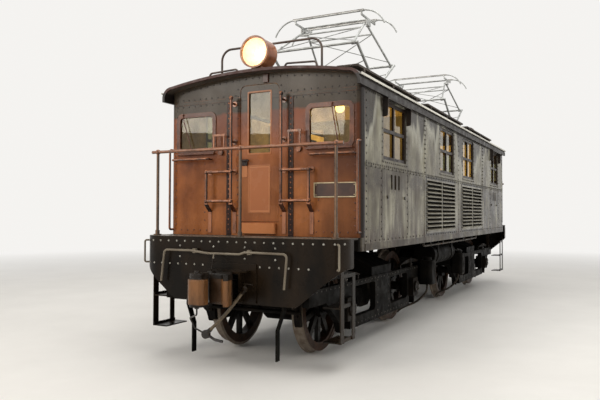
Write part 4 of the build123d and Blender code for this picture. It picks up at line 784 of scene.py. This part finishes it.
for name, axle_y in AXLE_YS.items():
    wheel_steel = finish(f"{name}_steel", 0.4, specular=0.1)
    from_axle = diagonal(along(wheel_steel, "Z") - AXLE_Z, along(wheel_steel, "Y") - axle_y)
    rust = noise(wheel_steel, 9.0, detail=7).ramp(0.35, 0.7)
    # the oily centre and the rusty rim set darker as painted shade under the body
    shade = rust.mix((10, 9, 7), (26, 20, 15))
    shade = from_axle.ramp(*RIM_INSIDE).mix(shade, rust.mix((34, 22, 14), (62, 40, 25)))
    shade = from_axle.ramp(*TREAD_INSIDE).mix(shade, rust.mix((128, 118, 106), (92, 78, 66)))
    feed(shade, "Base Color")
    feed(noise(wheel_steel, 16.0).ramp(0.3, 0.7, 0.28, 0.55), "Roughness")
    relief(noise(wheel_steel, 22.0), 0.0015)
    dress(wheel_steel, name)

# Coupler: a cast head whose knuckle and throat are rubbed to bare brown steel, and whose
# lugs and guard arm stay black.
coupler_steel = finish("coupler_steel", 0.38, coat=0.04, specular=0.25)
knuckle = along(coupler_steel, "Z").band(0.718, 0.982, 0.004) * off(coupler_steel, "Y").ramp(5.50, 5.52)
bare_steel = noise(coupler_steel, 7.0, (1, 1, 0.4)).ramp(0.35, 0.68).mix((130, 88, 52), (82, 58, 38))
black_steel = noise(coupler_steel, 6.0).ramp(0.35, 0.7).mix((12, 10, 8), (42, 33, 25))
feed(knuckle.mix(black_steel, bare_steel), "Base Color")
feed(noise(coupler_steel, 12.0).ramp(0.3, 0.7, 0.22, 0.5), "Roughness")
relief(noise(coupler_steel, 30.0), 0.0012, easing=0.03)
dress(coupler_steel, "coupler_a", "coupler_b")

# End decks: a chequered tread plate over a riveted black apron, its rivet heads painted pale as
# highlights, with corner handles and an uncoupling lever of bare brown-grey steel.
DECK_FRONT, DECK_CORNER, HALF_WIDTH, DECK_TOP = -5.200, 0.270, 1.320, 1.420
STRAIGHT = HALF_WIDTH - DECK_CORNER
deck_paint = finish("deck_paint", 0.3, coat=0.02, coat_roughness=0.12, specular=0.1)
deck_cloud = noise(deck_paint, 2.2, (1, 1, 0.5), detail=6).ramp(0.4, 0.72)
deck_up, deck_out, deck_across = along(deck_paint, "Z"), off(deck_paint, "Y"), off(deck_paint, "X")
corner_x, corner_y = (deck_across - STRAIGHT) | 0.0, (deck_out + (DECK_FRONT + DECK_CORNER)) | 0.0
handle = diagonal(corner_x, corner_y).ramp(DECK_CORNER + 0.004, DECK_CORNER + 0.010)
handle = handle * deck_up.band(1.085, 1.375, 0.004) * deck_across.ramp(1.10, 1.12)
lever = deck_out.ramp(5.222, 5.228) * deck_up.band(1.19, 1.29, 0.01)
lever_legs = deck_across.ramp(0.60, 0.62) * deck_out.ramp(5.235, 5.240)
deck_colour = deck_cloud.mix((17, 13, 9), (44, 33, 22))
deck_colour = (lever | handle | lever_legs).mix(deck_colour, deck_cloud.mix((108, 98, 85), (148, 139, 123)))
deck_colour = deck_up.ramp(1.417, 1.4195).mix(deck_colour, deck_cloud.mix((78, 72, 64), (112, 104, 94)))
feed((edge_wear(deck_paint, 0.004) * 0.3).mix(deck_colour, (110, 98, 84)), "Base Color")
feed(noise(deck_paint, 5.0).ramp(0.3, 0.75, 0.2, 0.45), "Roughness")
dress(deck_paint, "end_deck_a", "end_deck_b")


def apron_row(z, first, last, pitch=0.118):
    """Places along the apron's outline in plan and the way out of it at each: the front face,
    then a quarter circle at each corner, by the length run from the middle."""
    run = np.arange(first, last, pitch)
    turn = np.clip((np.abs(run) - STRAIGHT) / DECK_CORNER, 0, None)
    x = np.where(np.abs(run) < STRAIGHT, run, np.sign(run) * (STRAIGHT + DECK_CORNER * np.sin(turn)))
    y = DECK_FRONT + DECK_CORNER * (1 - np.cos(turn))
    out = np.stack([np.sign(run) * np.sin(turn), -np.cos(turn), np.zeros_like(run)], 1)
    return np.stack([x, y, np.full_like(run, z)], 1), out


def tread_bars(x, y, top, pitch=0.05, length=0.034, width=0.010, rise=0.0025):
    """Raised bars of chequer plate on a square grid, each turned an eighth of a turn one way
    or the other: a long lozenge at the plate and a ridge between two points above it."""
    columns, rows = (np.arange(low, high, pitch) for low, high in (x, y))
    across, ahead = (part.ravel() for part in np.meshgrid(columns, rows))
    odd = (np.round(across / pitch) + np.round(ahead / pitch)) % 2
    turn = np.where(odd > 0, np.pi / 4, -np.pi / 4)[:, None]
    shape = np.array([(-length / 2, 0, 0), (0, -width / 2, 0), (length / 2, 0, 0), (0, width / 2, 0),
                      (-length / 4, 0, rise), (length / 4, 0, rise)])
    points = np.stack([across[:, None] + np.cos(turn) * shape[:, 0] - np.sin(turn) * shape[:, 1],
                       ahead[:, None] + np.sin(turn) * shape[:, 0] + np.cos(turn) * shape[:, 1],
                       np.broadcast_to(top - 0.0005 + shape[:, 2], (len(across), 6))], -1)
    start = (np.arange(len(across)) * 6)[:, None, None]
    sides = np.array([(0, 1, 4), (4, 1, 5), (1, 2, 5), (2, 3, 5), (5, 3, 4), (3, 0, 4)])
    faces = (sides + start).reshape(-1, 3).tolist() + (np.array([[3, 2, 1, 0]]) + start).reshape(-1, 4).tolist()
    return points.reshape(-1, 3), faces


def on_bogies(name, parts, material, smooth=False):
    """The same parts on bogie a and, turned half round, on bogie b."""
    joined(f"{name}_a", parts, material, "bogie_a", smooth)
    joined(f"{name}_b", half_turned(parts), material, "bogie_b", smooth)


bars = [tread_bars((-1.20, 1.21), (-5.13, -4.81), DECK_TOP)]
bar_paint = paint("tread_bars_paint", (96, 88, 78), (136, 126, 112), (48, 42, 36), 0.26)
on_bogies("tread_bars", bars, bar_paint)

apron_columns = np.array([(x, DECK_FRONT, z) for x in (-0.72, -0.25, 0.165, 0.55) for z in (1.185, 1.31)])
apron_rows = [apron_row(1.365, -1.36, 1.37), apron_row(1.100, -1.22, -0.36), apron_row(1.100, 0.36, 1.06),
              (apron_columns, np.broadcast_to([0.0, -1.0, 0.0], apron_columns.shape))]
apron_places, apron_out = (np.concatenate(part) for part in zip(*apron_rows))
# the apron's rivet heads painted pale as their highlights
bright_rivet = paint("bright_rivet", (150, 146, 136), (190, 188, 178), (92, 86, 78), 0.26, scale=12.0)
for label, turned in (("a", 1), ("b", [-1, -1, 1])):
    rivets(f"apron_rivets_{label}", apron_places * turned, apron_out * turned, 0.015, bright_rivet,
           f"bogie_{label}")

# Bogie fastenings: rivets along the plate frames, hexagon bolts on the axlebox covers and
# the spring buckles.
FRAME_X, COVER_FACE, BUCKLE_FACE = 0.940, 1.034, 0.936
BOGIE_Y, AXLE_STEP, COVER_CIRCLE = -2.865, 1.3, 0.068
# first and last y from the bogie's middle, first and last z, pitch
FRAME_ROWS = [(-2.24, 1.60, 0.835, 0.835, 0.12), (-1.05, 1.05, 0.335, 0.335, 0.12),
              (-0.22, -0.22, 0.40, 0.80, 0.10), (0.22, 0.22, 0.40, 0.80, 0.10)]
frame_places = both_sides(np.concatenate([
    row((FRAME_X, BOGIE_Y + y0, z0), (FRAME_X, BOGIE_Y + y1, z1), pitch) for y0, y1, z0, z1, pitch in FRAME_ROWS
]))
AXLES = (BOGIE_Y - AXLE_STEP, BOGIE_Y + AXLE_STEP)
cover_bolts = [(COVER_FACE, axle + COVER_CIRCLE * math.cos(t), AXLE_Z + COVER_CIRCLE * math.sin(t))
               for axle in AXLES for t in np.arange(6) * math.pi / 3 + 0.5]
buckle_bolts = [(BUCKLE_FACE, axle + aside, z) for axle in AXLES for aside in (-0.022, 0.022) for z in (0.90, 0.97)]
bogie_bolts = hexagon_bolts(cover_bolts, 0.015, 0.012) + hexagon_bolts(buckle_bolts, 0.013, 0.010)
bogie_bolts += mirrored(bogie_bolts)
bolt_paint = paint("bolt_paint", (44, 40, 36), (84, 76, 66), (22, 20, 18), 0.34, scale=10.0)
for label, turned in (("a", 1), ("b", [-1, -1, 1])):
    places, bolts = frame_places * turned, [(corners * turned, sides) for corners, sides in bogie_bolts]
    rivets(f"frame_rivets_{label}", places, places * [1, 0, 0], 0.013, bolt_paint, f"bogie_{label}")
    joined(f"bogie_bolts_{label}", bolts, bolt_paint, f"bogie_{label}")

# Pipes of the running gear: bent steel tube, an air pipe clipped below each sill and a sand
# pipe from each sand box to the rail in front of the inner wheel.
SAND_ROUTE = [(1.055, -1.075, 0.570), (1.055, -1.075, 0.430), (0.900, -1.100, 0.260),
              (0.640, -1.150, 0.150), (0.585, -1.190, 0.085)]
AIR_ROUTE = [(1.230, -1.90, 1.262), (1.230, -1.90, 1.215), (1.230, -1.84, 1.205),
             (1.230, 1.84, 1.205), (1.230, 1.90, 1.215), (1.230, 1.90, 1.262)]
CLIP_X, CLIP_Z, CLIP_YS = (1.224, 1.236), (1.185, 1.272), (-1.5, -0.75, 0.0, 0.75, 1.5)


def swept(route, radius, sides=10, steps=6):
    """A round tube along a route whose corners are eased: the centreline is the route's
    quadratic spline, and each ring lies across the line's direction."""
    route = np.array(route, float)
    middles = (route[1:] + route[:-1]) / 2
    t = np.linspace(0, 1, steps)[:, None]
    line = [route[:1]]
    for before, corner, after in zip(middles, route[1:-1], middles[1:]):
        line.append((1 - t) ** 2 * before + 2 * t * (1 - t) * corner + t**2 * after)
    line = np.concatenate(line + [route[-1:]])
    line = line[np.concatenate([[True], np.linalg.norm(np.diff(line, axis=0), axis=1) > 1e-6])]
    ahead = unit(np.gradient(line, axis=0))
    across = unit(np.cross(ahead, np.eye(3)[int(np.argmin(np.ptp(line, axis=0)))]))
    up = np.cross(ahead, across)
    turn = (np.arange(sides) * 2 * np.pi / sides)[:, None]
    return skinned(line[:, None] + radius * (np.cos(turn) * across[:, None] + np.sin(turn) * up[:, None]))


pipe_paint = paint("pipe_paint", (48, 42, 36), (80, 72, 62), (24, 21, 18), 0.4, scale=6.0, specular=0.12, coat=0.0)
sand_parts = [swept(SAND_ROUTE, 0.017)]
sand_parts += mirrored(sand_parts)
on_bogies("sand_pipes", sand_parts, pipe_paint, smooth=True)
air_parts = [swept(AIR_ROUTE, 0.016)] + [slab(CLIP_X, (y - 0.014, y + 0.014), CLIP_Z) for y in CLIP_YS]
joined("air_pipes", air_parts + mirrored(air_parts), pipe_paint)

# Brake hose: a rubber hose from the angle cock on the coupler's striker down to its coupling
# head, which rests on a hook under the knuckle. 37 mm thick, it hangs from the cock.
HOSE_ROUTE = [(0.212, -5.330, 0.824), (0.085, -5.332, 0.668), (-0.053, -5.334, 0.524), (-0.188, -5.336, 0.404)]
HOSE_RADIUS = 0.0185
hose_curve = bpy.data.curves.new("brake_hose", "CURVE")
hose_curve.dimensions = "3D"
hose_line = hose_curve.splines.new("NURBS")
hose_line.points.add(len(HOSE_ROUTE) - 1)
hose_line.points.foreach_set("co", np.insert(HOSE_ROUTE, 3, 1.0, axis=1).ravel())
hose_line.order_u = 3
hose_line.use_endpoint_u = True
hose_curve.resolution_u = 16
hose_curve.bevel_depth = HOSE_RADIUS
hose_curve.bevel_resolution = 6
hose_curve.use_fill_caps = True
hose_rubber = clouded("hose_rubber", 0.42, (78, 66, 50), (118, 102, 80), 18.0, detail=6)
relief(noise(hose_rubber, 120.0, detail=2), 0.0008)
hose_curve.materials.append(hose_rubber)
brake_hose = bpy.data.objects.new("brake_hose", hose_curve)
bpy.context.scene.collection.objects.link(brake_hose)
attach(brake_hose, "bogie_a")
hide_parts("brake_hose_a")
hose_iron = paint("hose_iron", (30, 27, 25), (64, 56, 48), (16, 14, 13), 0.32, (120, 104, 84))
dress(hose_iron, "hose_coupling_a")

# Studio: a pale floor that fades into a pale background, one large soft light overhead, one
# softer from the front left and one along the right side, and the camera.
SEEN_RAYS = ("Is Camera Ray", "Is Glossy Ray", "Is Transmission Ray")
BACKDROP, AS_LIGHT, AS_SEEN = (0.99, 0.975, 0.95, 1.0), 0.45, 0.92
FLOOR_HALF, FADE_FROM, FADE_TO = 60, 8.0, 20.0


def backdrop(owner, shader):
    """Pale in the picture, in metal and through glass, and half as strong as light."""
    camera_ray, glossy_ray, through_glass = (add_node(owner, "ShaderNodeLightPath", {}, ray) for ray in SEEN_RAYS)
    seen = camera_ray | glossy_ray | through_glass
    owner.node_tree.links.new(seen.ramp(0, 1, AS_LIGHT, AS_SEEN).socket, shader.inputs["Strength"])
    shader.inputs["Color"].default_value = BACKDROP


floor_finish = clouded("floor_finish", 0.55, (230, 228, 224), (238, 236, 232), 0.8, (0.3, 0.7))
floor_tree = floor_finish.node_tree
far = floor_tree.nodes.new("ShaderNodeEmission")
backdrop(floor_finish, far)
away = diagonal(along(floor_finish, "X"), along(floor_finish, "Y")).ramp(FADE_FROM, FADE_TO)
lights = {0: away, 1: Value(floor_finish, shader_of(floor_finish).outputs["BSDF"]),
          2: Value(floor_finish, far.outputs["Emission"])}
fade = add_node(floor_finish, "ShaderNodeMixShader", lights, "Shader")
floor_tree.links.new(fade.socket, floor_tree.nodes["Material Output"].inputs["Surface"])
floor_mesh = bpy.data.meshes.new("floor")
floor_corners = [(FLOOR_HALF * x, FLOOR_HALF * y, 0) for x, y in ((-1, -1), (1, -1), (1, 1), (-1, 1))]
floor_mesh.from_pydata(floor_corners, [], [(0, 1, 2, 3)])
floor_mesh.materials.append(floor_finish)
floor = bpy.data.objects.new("floor", floor_mesh)
bpy.context.scene.collection.objects.link(floor)

world = bpy.data.worlds.new("studio")
bpy.context.scene.world = world
world.use_nodes = True
backdrop(world, world.node_tree.nodes["Background"])


def soft_light(name, place, aim, size, power, colour):
    """A rectangular soft light at a place, turned to its aim."""
    lamp = bpy.data.lights.new(name, "AREA")
    lamp.shape = "RECTANGLE"
    lamp.size, lamp.size_y = size
    lamp.energy = power
    lamp.color = colour
    holder = bpy.data.objects.new(name, lamp)
    holder.location = place
    holder.rotation_euler = (Vector(aim) - Vector(place)).to_track_quat("-Z", "Y").to_euler()
    bpy.context.scene.collection.objects.link(holder)


soft_light("overhead", (1.5, -2.0, 10.5), (0.0, -1.0, 0.0), (9, 16), 900, (1.0, 0.98, 0.94))
soft_light("front_left", (-6.0, -14.0, 6.5), (0.0, -4.0, 1.8), (6, 5), 560, (1.0, 0.94, 0.86))
soft_light("right_side", (13.0, -3.0, 5.0), (1.3, 0.0, 2.0), (12, 5), 300, (1.0, 0.98, 0.94))

FOCAL_PIXELS, WIDTH_PIXELS, SENSOR = 629.66, 600, 36.0
YAW, PITCH, ROLL = math.radians(27.043), math.radians(1.255), math.radians(0.159)
CAMERA_PLACE = (3.8645, -11.112, 1.683)
lens_data = bpy.data.cameras.new("camera")
lens_data.sensor_width = SENSOR
lens_data.lens = FOCAL_PIXELS / WIDTH_PIXELS * SENSOR
camera = bpy.data.objects.new("camera", lens_data)
camera.matrix_world = (Matrix.Translation(CAMERA_PLACE) @ Matrix.Rotation(YAW, 4, "Z")
                       @ Matrix.Rotation(math.pi / 2 + PITCH, 4, "X") @ Matrix.Rotation(ROLL, 4, "Z"))
bpy.context.scene.collection.objects.link(camera)
bpy.context.scene.camera = camera
bpy.context.scene.view_settings.view_transform = "Standard"
